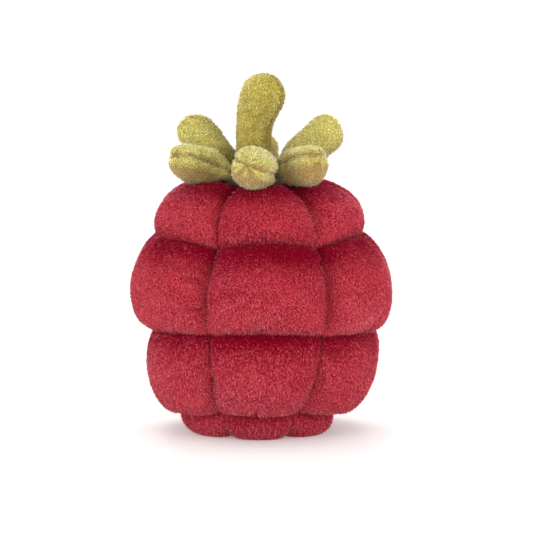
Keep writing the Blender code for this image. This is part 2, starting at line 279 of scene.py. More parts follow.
def make_material(name: str, surface: Callable[[NodeSheet], Mapping[str, Any]]) -> bpy.types.Material:
    """Make a material whose surface is a Principled shader.

    Args:
        name: The material's name.
        surface: Draws on a node sheet and returns the shader's inputs.

    Returns:
        The material.
    """
    material = bpy.data.materials.new(name)
    material.use_nodes = True
    sheet = NodeSheet(material.node_tree)
    shader = sheet.add("ShaderNodeBsdfPrincipled", {}, surface(sheet))
    sheet.add("ShaderNodeOutputMaterial", {}, {"Surface": shader})
    return material


@dataclass(frozen=True)
class Velour:
    """Short dense pile: painted shade at the roots of its tufts, a dark and a light nap, and a painted
    highlight on their tips.
    """

    name: str
    # root is painted shade between the tufts, and tip is a painted highlight where their tips catch the
    # light.
    root: Colour
    dark: Colour
    light: Colour
    tip: Colour
    tint: Colour
    sheen: float = 0.5
    sheen_roughness: float = 0.35
    gloss: float = 0.05
    relief_mm: float = 0.20
    relief_strength: float = 0.8
    depth_mm: Colour = (0.40, 0.36, 0.36)
    depth_share: float = 0.5
    speck_mm: Pair = (0.45, 0.6)
    patch_mm: float = 7.0
    patch_tone: float = 0.4
    speck_tone: float = 0.6
    speck_height: float = 0.8
    # How much of the tip's painted highlight shows: a base share, and a gain with the nap's lightness.
    tip_highlight_base: float = 0.05
    tip_highlight_gain: float = 0.8
    root_roughness: float = 0.95
    tip_smoothing: float = 0.15

    def make(self) -> bpy.types.Material:
        """Return the material."""
        return make_material(self.name, self.surface)

    def surface(self, sheet: NodeSheet) -> Mapping[str, Any]:
        """Return the shader's inputs, the colour going from the root's painted shade over the nap to the
        tip's painted highlight.
        """
        nap = sheet.add("ShaderNodeAttribute", {"attribute_name": NAP}, {}, "Vector")
        pile = sheet.add("ShaderNodeAttribute", {"attribute_name": PILE}, {}, "Vector")
        # The nap's third part is its lightness, with painted light and shade in it.
        s, t, nap_and_painted_light = sheet.split(nap)
        along, skin = sheet.split(pile)[:2]
        specks = sheet.flat_noise(s / self.speck_mm[0], t / self.speck_mm[1], 1.0, 0.0)
        patches = sheet.flat_noise(s / self.patch_mm, t / self.patch_mm, 2.0, 0.4)
        uneven = (patches - 0.5) * self.patch_tone + (specks - 0.5) * self.speck_tone
        nap_and_light_share = (nap_and_painted_light + skin * uneven).clamped()
        height = (along + skin * (specks - 0.5) * self.speck_height).clamped()
        # The root colour is painted shade between the tufts, and the tip colour a painted highlight on them.
        nap_and_light_colour = sheet.mix(nap_and_light_share, self.dark, self.light)
        low = sheet.mix((height * 2.0).clamped(), self.root, nap_and_light_colour)
        tip = (height * 2.0 - 1.0).clamped() * (nap_and_light_share * self.tip_highlight_gain + self.tip_highlight_base)
        return {
            "Base Color": sheet.mix(tip, low, self.tip),
            "Roughness": self.root_roughness - height * self.tip_smoothing,
            "Normal": sheet.relief(self.relief_strength, self.relief_mm * MM, skin * specks),
            "Specular IOR Level": self.gloss,
            "Subsurface Weight": self.depth_share,
            "Subsurface Radius": self.depth_mm,
            "Subsurface Scale": MM,
            "Sheen Weight": self.sheen,
            "Sheen Roughness": self.sheen_roughness,
            "Sheen Tint": (*self.tint, 1.0),
        }


@dataclass(frozen=True)
class Fibre:
    """Loose filling fibre, matt and slightly uneven."""

    name: str
    dark: Colour
    light: Colour
    strand_mm: float = 0.8
    relief_mm: float = 0.3
    relief_strength: float = 0.7
    roughness: Pair = (0.85, 0.1)
    sheen: float = 0.2

    def make(self) -> bpy.types.Material:
        """Return the material."""
        return make_material(self.name, self.surface)

    def surface(self, sheet: NodeSheet) -> Mapping[str, Any]:
        """Return the shader's inputs."""
        place = sheet.add("ShaderNodeTexCoord", {}, {}, "Object")
        scale = 1.0 / (self.strand_mm * MM)
        inputs = {"Vector": place, "Scale": scale, "Detail": 3.0, "Distortion": 1.2}
        strands = sheet.add("ShaderNodeTexNoise", {}, inputs)
        return {
            "Base Color": sheet.mix(strands, self.dark, self.light),
            "Roughness": strands * self.roughness[1] + self.roughness[0],
            "Normal": sheet.relief(self.relief_strength, self.relief_mm * MM, strands),
            "Sheen Weight": self.sheen,
        }


@dataclass(frozen=True)
class Paper:
    """Plain pale studio paper."""

    name: str
    colour: Colour
    glow: float
    roughness: float = 0.9

    def make(self) -> bpy.types.Material:
        """Return the material."""
        return make_material(self.name, self.surface)

    def surface(self, sheet: NodeSheet) -> Mapping[str, Any]:
        """Return the shader's inputs."""
        return {
            "Base Color": (*self.colour, 1.0),
            "Roughness": self.roughness,
            "Specular IOR Level": 0.0,
            "Emission Color": WHITE,
            "Emission Strength": self.glow,
        }


# Meshes


@dataclass
class MeshPlan:
    """Points, faces and per-corner map places that become one mesh."""

    points: Array
    nap: Array
    quads: Array
    quad_uv: Array
    triangles: Array = field(default_factory=lambda: np.zeros((0, 3), int))
    triangle_uv: Array = field(default_factory=lambda: np.zeros((0, 3, 2)))
    pile: Array | None = None

    def add_tufts(self, tufts: "Tufts") -> None:
        """Stand tufts of fibre on the plan's skin."""
        skin = self.pile
        if skin is None:
            skin = np.tile((SKIN_HEIGHT, 1.0, 0.0), (len(self.points), 1))
        self.triangles = np.concatenate((self.triangles, tufts.triangles + len(self.points)))
        self.triangle_uv = np.concatenate((self.triangle_uv, tufts.uv))
        self.points = np.concatenate((self.points, tufts.points))
        self.nap = np.concatenate((self.nap, tufts.nap))
        self.pile = np.concatenate((skin, tufts.pile))

    def make(self, name: str) -> bpy.types.Object:
        """Return the plan as a smooth-shaded object."""
        mesh = bpy.data.meshes.new(name)
        mesh.vertices.add(len(self.points))
        mesh.vertices.foreach_set("co", self.points.astype(np.float32).ravel())
        corners = np.concatenate((self.quads.ravel(), self.triangles.ravel()))
        mesh.loops.add(len(corners))
        mesh.loops.foreach_set("vertex_index", corners.astype(np.int32))
        quad_starts = 4 * np.arange(len(self.quads))
        triangle_starts = 4 * len(self.quads) + 3 * np.arange(len(self.triangles))
        mesh.polygons.add(len(self.quads) + len(self.triangles))
        starts = np.concatenate((quad_starts, triangle_starts)).astype(np.int32)
        mesh.polygons.foreach_set("loop_start", starts)
        mesh.update(calc_edges=True)
        places = np.concatenate((self.quad_uv.reshape(-1, 2), self.triangle_uv.reshape(-1, 2)))
        layer = mesh.uv_layers.new(name=UV_NAME)
        layer.data.foreach_set("uv", places.astype(np.float32).ravel())
        for attribute, values in ((NAP, self.nap), (PILE, self.pile)):
            if values is not None:
                store = mesh.attributes.new(attribute, "FLOAT_VECTOR", "POINT")
                store.data.foreach_set("vector", values.astype(np.float32).ravel())
        mesh.validate()
        mesh.shade_smooth()
        return show(name, mesh)


def show(name: str, data: bpy.types.ID) -> bpy.types.Object:
    """Put an object with some data in the scene."""
    shown = bpy.data.objects.new(name, data)
    bpy.context.scene.collection.objects.link(shown)
    return shown


def grid_quads(rows: int, columns: int, start: int = 0) -> Array:
    """Return the quads of a grid of points, its first point numbered start."""
    corner = start + np.arange(rows - 1)[:, None] * columns + np.arange(columns - 1)
    return np.stack((corner, corner + 1, corner + columns + 1, corner + columns), -1).reshape(-1, 4)


def grid_places(rows: int, columns: int, box: Box) -> Array:
    """Return the map place of each point of a grid, in a box of the map."""
    (low_u, low_v), (high_u, high_v) = box
    u = np.linspace(low_u, high_u, columns)
    v = np.linspace(low_v, high_v, rows)
    return np.stack(np.meshgrid(u, v), -1).reshape(-1, 2)


def border(rows: int, columns: int) -> Array:
    """Return a grid's border points in order, the first one again at the end."""
    index = np.arange(rows * columns).reshape(rows, columns)
    sides = (index[0, :-1], index[:-1, -1], index[-1, :0:-1], index[:0:-1, 0], index[:1, 0])
    return np.concatenate(sides)


# A pad's back has one grid line for every fourth one of its front. The boxes are the
# parts of the map for a pad's front, the strip round it, its back, and the tufts.
BACK_STEP = 4
# The bare skin sits part way up the pile's colours, in part of the roots' painted shade.
SKIN_HEIGHT = 0.30
FRONT_BOX = ((0.03, 0.03), (0.97, 0.79))
STRIP_BOX = ((0.005, 0.005), (0.995, 0.815))
BACK_BOX = ((0.03, 0.84), (0.45, 0.98))
TUFT_BOX = ((0.50, 0.84), (0.98, 0.98))
GRID_TOP = 0.82
GRID_MARGIN = 0.02


@dataclass
class Tufts:
    """Tufts of fibre: points, faces, and the attributes that colour them."""

    points: Array
    nap: Array
    pile: Array
    triangles: Array
    uv: Array


@dataclass(frozen=True)
class Pile:
    """Short tufts of fibre that lean over on a piece's skin."""

    density: float = 4.4
    length_mm: float = 0.92
    width_mm: float = 0.32
    rise: float = 38.0
    rise_spread: float = 12.0
    turn_spread: float = 18.0
    swirl: float = 40.0
    tone_spread: float = 0.10
    clump_mm: Pair = (0.28, 0.70)
    wale_mm: float = 1.0
    wale_share: float = 0.35
    clump_turn: float = 50.0
    clump_warp_mm: float = 1.1
    # Clumps give painted shade to the tufts in their gaps and painted light to those on their crests.
    clump_light_and_shade: float = 1.2
    clump_height: float = 0.6
    clump_length: float = 0.3
    size_spread: float = 0.4
    swirl_mm: float = 9.0
    warp_mm: float = 4.0
    wale_bend: float = 0.7
    root_sink: float = 0.10 * MM
    tip_height: float = 0.68
    under_height: float = 0.05
    side_tone: float = 0.02
    faces: tuple[tuple[int, ...], ...] = ((1, 0, 3), (0, 2, 3), (2, 1, 3), (0, 1, 2))

    def grow(self, points: Array, normals: Array, nap: Array, keep: Array, seed: int) -> Tufts:
        """Grow tufts over a grid of skin.

        Args:
            points: Grid of the skin's points.
            normals: Outward unit normals of the skin.
            nap: Cloth coordinates and lightness of the skin, painted light and shade included.
            keep: Share of the tufts that grow at each point.
            seed: Seed of the random draws.

        Returns:
            The tufts.
        """
        draw = np.random.default_rng(seed)
        corner = points[:-1, :-1]
        side, rise = points[:-1, 1:] - corner, points[1:, :-1] - corner
        area = np.linalg.norm(np.cross(side, rise), axis=-1) / MM**2
        wanted = self.density * area * keep[:-1, :-1]
        count = np.floor(wanted + draw.random(wanted.shape)).astype(int)
        row, column = np.nonzero(count)
        times = count[row, column]
        row, column = np.repeat(row, times), np.repeat(column, times)
        u, v = draw.random(len(row))[:, None], draw.random(len(row))[:, None]

        def read(grid: Array) -> Array:
            low = blend(grid[row, column], grid[row, column + 1], u)
            high = blend(grid[row + 1, column], grid[row + 1, column + 1], u)
            return blend(low, high, v)

        root, normal, cloth = read(points), unit(read(normals), 1e-9), read(nap)
        down = -rise[row, column]
        down = unit(down - normal * np.sum(down * normal, axis=1, keepdims=True))
        beside = np.cross(normal, down)
        swirl = self.swirl * Grain(seed + 5).at(cloth[:, 0] / self.swirl_mm, cloth[:, 1] / self.swirl_mm)
        turn = np.radians(swirl + self.turn_spread * draw.normal(size=len(row)))[:, None]
        lay = down * np.cos(turn) + beside * np.sin(turn)
        lift = np.radians(self.rise + self.rise_spread * draw.normal(size=len(row)))[:, None]
        axis = lay * np.cos(lift) + normal * np.sin(lift)
        across = unit(np.cross(axis, normal), 1e-9)
        under = np.cross(across, axis)
        clump = self.clumps(cloth, seed)
        least = 1.0 - self.size_spread / 2.0
        size = least + self.size_spread * draw.random(len(row)) + self.clump_length * clump
        length = self.length_mm * MM * size[:, None]
        half = self.width_mm * MM / 2.0 * (least + self.size_spread * draw.random(len(row)))[:, None]
        root = root - normal * self.root_sink
        corners = (root + across * half, root - across * half, root - under * half, root + axis * length)
        return self.finish(np.stack(corners, 1), cloth, clump, draw)

    def clumps(self, cloth: Array, seed: int) -> Array:
        """Return how far each tuft stands in a clump of fibre, -1 in a gap and 1 on a crest."""
        turn = math.radians(self.clump_turn) * np.random.default_rng(seed + 9).uniform(-1.0, 1.0)
        s = cloth[:, 0] * math.cos(turn) + cloth[:, 1] * math.sin(turn)
        t = cloth[:, 1] * math.cos(turn) - cloth[:, 0] * math.sin(turn)
        bend, lean = (
            self.clump_warp_mm * Grain(seed + step).at(s / self.warp_mm, t / self.warp_mm) for step in (6, 7)
        )
        wales = np.cos(2.0 * math.pi * (s + self.wale_bend * bend) / self.wale_mm)
        loose = Grain(seed + 8).at((s + bend) / self.clump_mm[0], (t + lean) / self.clump_mm[1])
        return loose + self.wale_share * wales

    def finish(self, shape: Array, cloth: Array, clump: Array, draw: np.random.Generator) -> Tufts:
        """Give each tuft its tone, and its place in the map's band of tones.

        Args:
            shape: The four corners of each tuft.
            cloth: Cloth coordinates and lightness at each tuft's root, painted light and shade included.
            clump: How far each tuft stands in a clump.
            draw: The random draws.

        Returns:
            The tufts.
        """
        total = len(shape)
        # Tufts in a clump's gaps get painted shade, and those on its crests painted light.
        tone = cloth[:, 2] + self.tone_spread * draw.normal(size=total) + self.clump_light_and_shade * clump * 0.5
        shift = np.array((-self.side_tone, self.side_tone, 0.0, 0.0))
        middle = np.clip(tone, self.side_tone, 1.0 - self.side_tone)
        tones = np.clip(middle[:, None] + shift, 0.0, 1.0)
        tip = np.clip(self.tip_height + self.clump_height * clump, 0.15, 1.0)
        height = tip[:, None] * np.array((0.0, 0.0, self.under_height, 1.0))
        nap = np.stack((np.repeat(cloth[:, :1], 4, 1), np.repeat(cloth[:, 1:2], 4, 1), tones), -1)
        pile = np.stack((height, np.zeros_like(height), np.zeros_like(height)), -1)
        (low_u, low_v), (high_u, high_v) = TUFT_BOX
        places = np.stack((blend(low_u, high_u, tones), blend(low_v, high_v, height)), -1)
        faces = np.array(self.faces)
        triangles = (4 * np.arange(total))[:, None, None] + faces
        return Tufts(
            points=shape.reshape(-1, 3),
            nap=nap.reshape(-1, 3),
            pile=pile.reshape(-1, 3),
            triangles=triangles.reshape(-1, 3),
            uv=places[:, faces].reshape(-1, 3, 2),
        )


def closed_pad(front: Array, back: Array, nap: Array) -> MeshPlan:
    """Close a fine front sheet with a coarser back sheet, joined all round.

    Args:
        front: Grid of the front's points.
        back: Grid of the back's points, one for every fourth point of the front.
        nap: Cloth coordinates and lightness of each front point, painted light and shade included.

    Returns:
        The plan of the closed pad.
    """
    rows, columns = front.shape[:2]
    back_rows, back_columns = back.shape[:2]
    count = rows * columns
    inner = grid_places(rows, columns, FRONT_BOX)
    outer = grid_places(back_rows, back_columns, STRIP_BOX)
    behind = grid_places(back_rows, back_columns, BACK_BOX)
    quads = grid_quads(rows, columns)
    back_quads = grid_quads(back_rows, back_columns)
    fine, coarse = border(rows, columns), border(back_rows, back_columns)
    first, second = coarse[:-1], coarse[1:]
    ring = fine[:-1].reshape(-1, BACK_STEP)
    ring = np.concatenate((ring, np.roll(ring[:, :1], -1, axis=0)), axis=1)
    triangles, places = [], []
    for step, post in ((0, first), (1, first), (2, second), (3, second)):
        triangles.append(np.stack((ring[:, step + 1], ring[:, step], post + count), -1))
        places.append(np.stack((inner[ring[:, step + 1]], inner[ring[:, step]], outer[post]), 1))
    triangles.append(np.stack((ring[:, 2], first + count, second + count), -1))
    places.append(np.stack((inner[ring[:, 2]], outer[first], outer[second]), 1))
    return MeshPlan(
        points=np.concatenate((front.reshape(-1, 3), back.reshape(-1, 3))),
        nap=np.concatenate((nap.reshape(-1, 3), nap[::BACK_STEP, ::BACK_STEP].reshape(-1, 3))),
        quads=np.concatenate((quads, back_quads[:, ::-1] + count)),
        quad_uv=np.concatenate((inner[quads], behind[back_quads[:, ::-1]])),
        triangles=np.concatenate(triangles),
        triangle_uv=np.concatenate(places),
    )


def joined_grids(grids: Sequence[Array], naps: Sequence[Array], across: int) -> MeshPlan:
    """Lay several grids out in one plan, each in its own cell of the map's lower part.

    Args:
        grids: Grids of points.
        naps: Cloth coordinates and lightness of each grid's points, painted light and shade included.
        across: Number of cells across the map.

    Returns:
        The plan, with the grids not yet welded.
    """
    down = math.ceil(len(grids) / across)
    quads, places, start = [], [], 0
    for index, grid in enumerate(grids):
        rows, columns = grid.shape[:2]
        row, column = divmod(index, across)
        low, high = (
            ((column + share) / across, (row + share) / down * GRID_TOP)
            for share in (GRID_MARGIN, 1.0 - GRID_MARGIN)
        )
        cell = grid_quads(rows, columns)
        places.append(grid_places(rows, columns, (low, high))[cell])
        quads.append(cell + start)
        start += rows * columns
    points = np.concatenate([grid.reshape(-1, 3) for grid in grids])
    nap = np.concatenate([part.reshape(-1, 3) for part in naps])
    return MeshPlan(points, nap, np.concatenate(quads), np.concatenate(places))


def weld(piece: bpy.types.Object) -> None:
    """Weld a piece's points where its grids meet, and turn its faces outwards."""
    bm = bmesh.new()
    bm.from_mesh(piece.data)
    bmesh.ops.remove_doubles(bm, verts=bm.verts, dist=WELD)
    bmesh.ops.recalc_face_normals(bm, faces=bm.faces)
    bm.to_mesh(piece.data)
    bm.free()
    piece.data.shade_smooth()


def attach(piece: bpy.types.Object, material: bpy.types.Material) -> None:
    """Give a piece its material and slot, and let it ride on the toy's body."""
    piece.data.materials.append(material)
    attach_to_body(piece, BODY)


# Cover of the fruit


@dataclass(frozen=True)
class Ring:
    """A ring of seams round the fruit, with the azimuths of its corners.

    Between two corners a seam swells outwards and arches upwards. It rides up at the
    front and back, and its skew draws the right side in and lets the left side out.
    The lean is the angle above level at which the pads beside it swell.
    """

    radius: float
    height: float
    swell: float
    arch: float
    ride: float
    skew: float
    lean: float
    corners: tuple[float, ...]

    def corner(self, seam: int) -> float:
        """Return the azimuth of a corner, with whole turns past the last one."""
        turns, index = divmod(seam, len(self.corners))
        return self.corners[index] + 360.0 * turns

    def point(self, column: int, across: Array) -> tuple[Array, Array]:
        """Return the radius and the height of the seam across a column."""
        azimuth = blend(self.corner(column), self.corner(column + 1), across)
        rise = 4.0 * across * (1.0 - across)
        ride = self.ride * np.cos(np.radians(azimuth)) ** 2
        skew = self.skew * np.sin(np.radians(azimuth))
        return self.radius + self.swell * rise - skew, self.height + self.arch * rise + ride


FLOOR_CORNERS = (-30, 25, 86, 150, 210, 268)
BASE_CORNERS = (-29, 26, 87, 150, 211, 268)
WAIST_CORNERS = (-28, 33, 87, 151, 212, 269)
SHOULDER_CORNERS = (-25, 34, 86, 148, 209, 270)
CROWN_CORNERS = (-28, 31, 90, 150, 210, 270)
FLOOR_RING = Ring(13.0 * MM, 1.0 * MM, 0.2 * MM, 0.0, 0.0, 0.0, -90, FLOOR_CORNERS)
BASE_RING = Ring(25.0 * MM, 7.9 * MM, 0.6 * MM, -0.3 * MM, 2.4 * MM, 1.2 * MM, -44, BASE_CORNERS)
WAIST_RING = Ring(36.6 * MM, 33.9 * MM, 0.7 * MM, 0.8 * MM, 3.0 * MM, -1.0 * MM, -6, WAIST_CORNERS)
SHOULDER_RING = Ring(33.6 * MM, 64.2 * MM, 0.8 * MM, 2.4 * MM, 0.0, 0.7 * MM, 14, SHOULDER_CORNERS)
CROWN_RING = Ring(5.0 * MM, 76.5 * MM, 0.0, 0.0, 0.0, 0.0, 100, CROWN_CORNERS)


@dataclass(frozen=True)
class Row:
    """A row of six pads between two rings of seams.

    The bend is the angle that its upright seams turn through, and the barrel is what
    they swell. The crown is how far a pad stands out, and its sag sets where: below 1
    it is fullest low down, above 1 high up. The shade is how far below the upper seam
    the dark band of nap and painted shade starts to lighten. The tone is painted light
    over the whole lower row and painted shade over the whole top row.
    """

    node: str
    below: Ring
    above: Ring
    bend: float
    barrel: float
    crown: float
    sag: float
    shade: float
    tone: float
    cells: tuple[int, int]

    def shares(self, up: Array) -> tuple[Array, Array]:
        """Return how far in radius and in height the seams have got at a share of the row."""
        if self.bend == 0:
            return up, up
        end = math.radians(abs(self.bend))
        turned = end * up
        level = (1.0 - np.cos(turned)) / (1.0 - math.cos(end))
        upright = np.sin(turned) / math.sin(end)
        return (level, upright) if self.bend > 0 else (upright, level)


@dataclass(frozen=True)
class Crease:
    """A short drawn-in line on one pad, from one place to another, as shares of the pad."""

    node: str
    start: tuple[float, float]
    end: tuple[float, float]
    depth: float
    width: float

    def groove(self, s: Array, t: Array, size: Pair) -> Array:
        """Return how deep the crease is at places on the pad, in metres."""
        start = np.array(self.start) * size
        run = np.array(self.end) * size - start
        length = np.hypot(*run)
        along = ((s - start[0]) * run[0] + (t - start[1]) * run[1]) / length
        beside = ((s - start[0]) * run[1] - (t - start[1]) * run[0]) / length
        ends = smooth_step(along / (0.25 * length)) * smooth_step((length - along) / (0.45 * length))
        return self.depth * ends * bell(beside, self.width)


@dataclass
class Cover:
    """The fruit's cover: four rows of six pads."""

    finish: Velour
    pile: Pile = Pile()
    rows: tuple[Row, ...] = (
        # A row's tone is painted light on the lower row and painted shade on the top one.
        Row("base_panel", FLOOR_RING, BASE_RING, -90, 0.0, 3.3 * MM, 0.8, -5.0 * MM, 0.0, (48, 32)),
        Row("lower_panel", BASE_RING, WAIST_RING, -72, 0.0, 5.1 * MM, 1.5, -0.5 * MM, 0.05, (60, 52)),
        Row("middle_panel", WAIST_RING, SHOULDER_RING, 0, 2.3 * MM, 7.4 * MM, 0.88, 3.5 * MM, 0.0, (64, 56)),
        Row("top_panel", SHOULDER_RING, CROWN_RING, 130, 0.0, 5.1 * MM, 1.0, 19.0 * MM, -0.10, (60, 52)),
    )
    creases: tuple[Crease, ...] = (
        Crease("lower_panel_1", (0.47, 0.08), (0.465, 0.50), 1.2 * MM, 0.6 * MM),
        Crease("middle_panel_6", (1.00, 0.60), (0.72, 0.66), 1.5 * MM, 1.1 * MM),
        Crease("middle_panel_6", (1.00, 0.38), (0.80, 0.32), 1.3 * MM, 1.0 * MM),
        Crease("middle_panel_1", (1.00, 0.80), (0.82, 0.77), 1.0 * MM, 0.9 * MM),
        Crease("top_panel_1", (1.00, 0.16), (0.86, 0.20), 0.7 * MM, 0.8 * MM),
        Crease("top_panel_6", (1.00, 0.30), (0.84, 0.24), 0.6 * MM, 0.9 * MM),
        Crease("top_panel_2", (0.00, 0.22), (0.14, 0.26), 0.6 * MM, 0.9 * MM),
        Crease("lower_panel_6", (1.00, 0.70), (0.86, 0.72), 0.6 * MM, 0.9 * MM),
        Crease("lower_panel_2", (0.00, 0.40), (0.15, 0.44), 0.6 * MM, 0.9 * MM),
        Crease("middle_panel_3", (0.00, 0.55), (0.20, 0.58), 0.8 * MM, 1.0 * MM),
        Crease("middle_panel_4", (1.00, 0.40), (0.80, 0.36), 0.8 * MM, 1.0 * MM),
    )
    seam_gap: float = 0.12 * MM
    wall_depth: float = 1.6 * MM
    wall_cells: int = 4
    thickness: float = 1.3 * MM
    corner_depth: float = 1.7 * MM
    corner_reach: float = 3.6 * MM
    pile_inset: float = 0.5 * MM
    back_scale: float = 0.975
    seam_relief: float = 0.35
    seam_relief_run: float = 0.8 * MM
    # The dark run and the nap's tones carry painted shade under the upper seam and painted light low on a
    # pad; the front column gets painted shade of its own.
    dark_run: float = 12.0 * MM
    nap_and_painted_light_tones: tuple[float, float, float] = (-0.12, 0.60, 0.22)
    front_column_shade: float = -0.10
    patch_mm: float = 8.0
    patch_tone: float = 0.07
    wave_mm: float = 11.0
    wave_depth_mm: float = 0.30
    tuck_mm: float = 3.4
    tuck_depth_mm: float = 0.30
    bump_mm: float = 1.8
    bump_depth_mm: float = 0.06
    tuck_reach_mm: Pair = (2.6, 1.4)
    tuck_fade_mm: float = 14.0
    tuck_sharpness: float = 5.0
    # A band of painted light beside the upright seams, and a thin line of painted shade right at them.
    seam_side_light: float = 0.14
    seam_side_light_mm: Pair = (1.5, 1.2)
    seam_shade: float = -0.5
    seam_shade_mm: float = 0.45
    across_shape: Pair = (2.3, 0.55)
    up_shape: Pair = (2.0, 0.68)
    columns: int = 6
    settling_cells: tuple[int, int] = (24, 24)
    first_seed: int = 100
    seed_step: int = 20

    @staticmethod
    def pad_height(share: Array, shape: Pair) -> Array:
        """Return the height of a pad, 0 at its two seams and 1 between them."""
        reach = np.abs(2.0 * share - 1.0)
        return np.maximum(1.0 - reach ** shape[0], 0.0) ** shape[1]

    def even_shares(self, cells: int, width: float, crown: float, shape: Pair, sag: float) -> Array:
        """Return shares between two seams that lie evenly along a crowned pad."""
        share = 0.5 - 0.5 * np.cos(np.linspace(0.0, math.pi, 801))
        rise = crown * self.pad_height(share ** sag, shape)
        steps = np.hypot(np.diff(share) * width, np.diff(rise))
        length = np.concatenate(([0.0], np.cumsum(steps)))
        return np.interp(np.linspace(0.0, length[-1], cells + 1), length, share)

    def surface(self, row: Row, column: int, across: Array, up: Array, sunk: Array) -> Array:
        """Return points of a pad's surface.

        Args:
            row: The row that the pad is in.
            column: The pad's place in the row.
            across: Share from the left seam to the right one.
            up: Share from the lower seam to the upper one.
            sunk: How far a point lies below the surface.

        Returns:
            The points.
        """
        length = math.hypot(row.above.radius - row.below.radius, row.above.height - row.below.height)
        inset = self.seam_gap / 2.0
        trimmed = blend(inset / length, 1.0 - inset / length, up)
        radius_share, height_share = row.shares(trimmed)
        low_radius, low_height = row.below.point(column, across)
        high_radius, high_height = row.above.point(column, across)
        radius = blend(low_radius, high_radius, radius_share) + 4.0 * row.barrel * trimmed * (1.0 - trimmed)
        height = blend(low_height, high_height, height_share)
        left = blend(row.below.corner(column), row.above.corner(column), trimmed)
        right = blend(row.below.corner(column + 1), row.above.corner(column + 1), trimmed)
        side = inset / (radius * np.radians(right - left))
        azimuth = blend(left, right, blend(side, 1.0 - side, across))
        lean = np.radians(blend(row.below.lean, row.above.lean, trimmed))
        pad = self.pad_height(across, self.across_shape) * self.pad_height(up ** row.sag, self.up_shape)
        stand = row.crown * pad - sunk
        height = np.maximum(height + stand * np.sin(lean), 0.0)
        return around(radius + stand * np.cos(lean), azimuth, height)

    def pad_size(self, row: Row, column: int) -> Pair:
        """Return a pad's length of cloth across and up its middle."""
        share = np.linspace(0.0, 1.0, 200)
        half = np.full_like(share, 0.5)
        sizes = []
        for across, up in ((share, half), (half, share)):
            points = self.surface(row, column, across, up, np.zeros_like(share))
            sizes.append(float(np.linalg.norm(np.diff(points, axis=0), axis=1).sum()))
        return sizes[0], sizes[1]

    def shares(self, row: Row, column: int, cells: tuple[int, int]) -> tuple[Array, Array]:
        """Return the shares of a pad's grid lines, across and up."""
        low, high = row.below.point(column, np.array(0.5))[0], row.above.point(column, np.array(0.5))[0]
        turn = math.radians(row.below.corner(column + 1) - row.below.corner(column))
        rise = math.hypot(row.above.radius - row.below.radius, row.above.height - row.below.height)
        across = self.even_shares(cells[0], float(low + high) / 2.0 * turn, row.crown, self.across_shape, 1.0)
        up = self.even_shares(cells[1], rise, row.crown, self.up_shape, row.sag)
        return across, up

    def with_walls(self, shares: Array) -> tuple[Array, Array]:
        """Add grid lines that go down into the seam on both sides.

        Args:
            shares: Shares of the grid lines on the pad.

        Returns:
            The shares with the walls' lines, and how far down each line is, 0 to 1.
        """
        count = self.wall_cells
        down = np.arange(count, 0, -1) / count
        sunk = np.concatenate((down, np.zeros(len(shares)), down[::-1]))
        return np.concatenate((np.zeros(count), shares, np.ones(count))), sunk

    def relief(self, name: str, seed: int, s: Array, t: Array, size: Pair) -> Array:
        """Return how far the cloth stands out from a pad's plain shape.

        Args:
            name: The pad's node.
            seed: The pad's own seed.
            s: Distance across from the left seam.
            t: Distance up from the lower seam.
            size: The pad's length of cloth across and up.

        Returns:
            The height of the relief, below zero where the cloth is drawn in.
        """
        grain = [Grain(seed + step) for step in range(7)]
        s_mm, t_mm = s / MM, t / MM
        out = self.wave_depth_mm * grain[0].at(s_mm / self.wave_mm, t_mm / self.wave_mm)
        edges = ((s_mm, t_mm), (size[0] / MM - s_mm, t_mm), (t_mm, s_mm), (size[1] / MM - t_mm, s_mm))
        for index, (away, along) in enumerate(edges):
            vary = grain[1].at(along / 5.0, np.full_like(along, 3.0 * index))
            reach = self.tuck_reach_mm[0] + self.tuck_reach_mm[1] * vary
            place = (along / self.tuck_mm, away / self.tuck_fade_mm)
            pull = grain[2 + index].ridges(*place, self.tuck_sharpness)
            out = out - self.tuck_depth_mm * pull * np.exp(-np.maximum(away, 0.0) / reach)
        out = (out + self.bump_depth_mm * grain[6].at(s_mm / self.bump_mm, t_mm / self.bump_mm)) * MM
        for crease in self.creases:
            if crease.node == name:
                out = out - crease.groove(s, t, size)
        return out

    def corner_dip(self, s: Array, t: Array, size: Pair) -> Array:
        """Return how far a pad is drawn in at its corners, at places on its cloth."""
        dip = np.zeros_like(s)
        for corner_s in (0.0, size[0]):
            for corner_t in (0.0, size[1]):
                dip = dip + self.corner_depth * bell(np.hypot(s - corner_s, t - corner_t), self.corner_reach)
        return dip

    def nap_and_painted_light(self, row: Row, column: int, seed: int, s: Array, t: Array, size: Pair) -> Array:
        """Return how light the nap lies at places on a pad's cloth, painted light and shade included.

        It lies dark under a seam, partly nap and partly painted shade under the pad above,
        and light low on a pad, partly nap and partly painted light. The front column gets
        painted shade that the side pads don't, and beside the upright seams a band of painted
        light stands for lit tips, with a thin line of painted shade right at each seam.
        """
        below_top = np.maximum(size[1] - t, 0.0)
        side = np.maximum(np.minimum(s, size[0] - s), 0.0) / MM
        # Painted shade under the upper seam, painted light low on the pad, and painted shade on the front
        # column, over the nap's own tones.
        darkest, clear, low = self.nap_and_painted_light_tones
        light = clear * smooth_step((below_top - row.shade) / self.dark_run) + darkest
        light = light + low * below_top / size[1] + row.tone + (self.front_column_shade if column == 0 else 0.0)
        # A band of painted light beside the upright seams, and a thin line of painted shade right at them.
        edge = self.seam_side_light * bell(side - self.seam_side_light_mm[0], self.seam_side_light_mm[1])
        edge = edge + self.seam_shade * np.exp(-side / self.seam_shade_mm)
        patches = Grain(seed + 11).at(s / MM / self.patch_mm, t / MM / self.patch_mm)
        return np.clip(light + edge + self.patch_tone * patches, -0.3, 1.0)

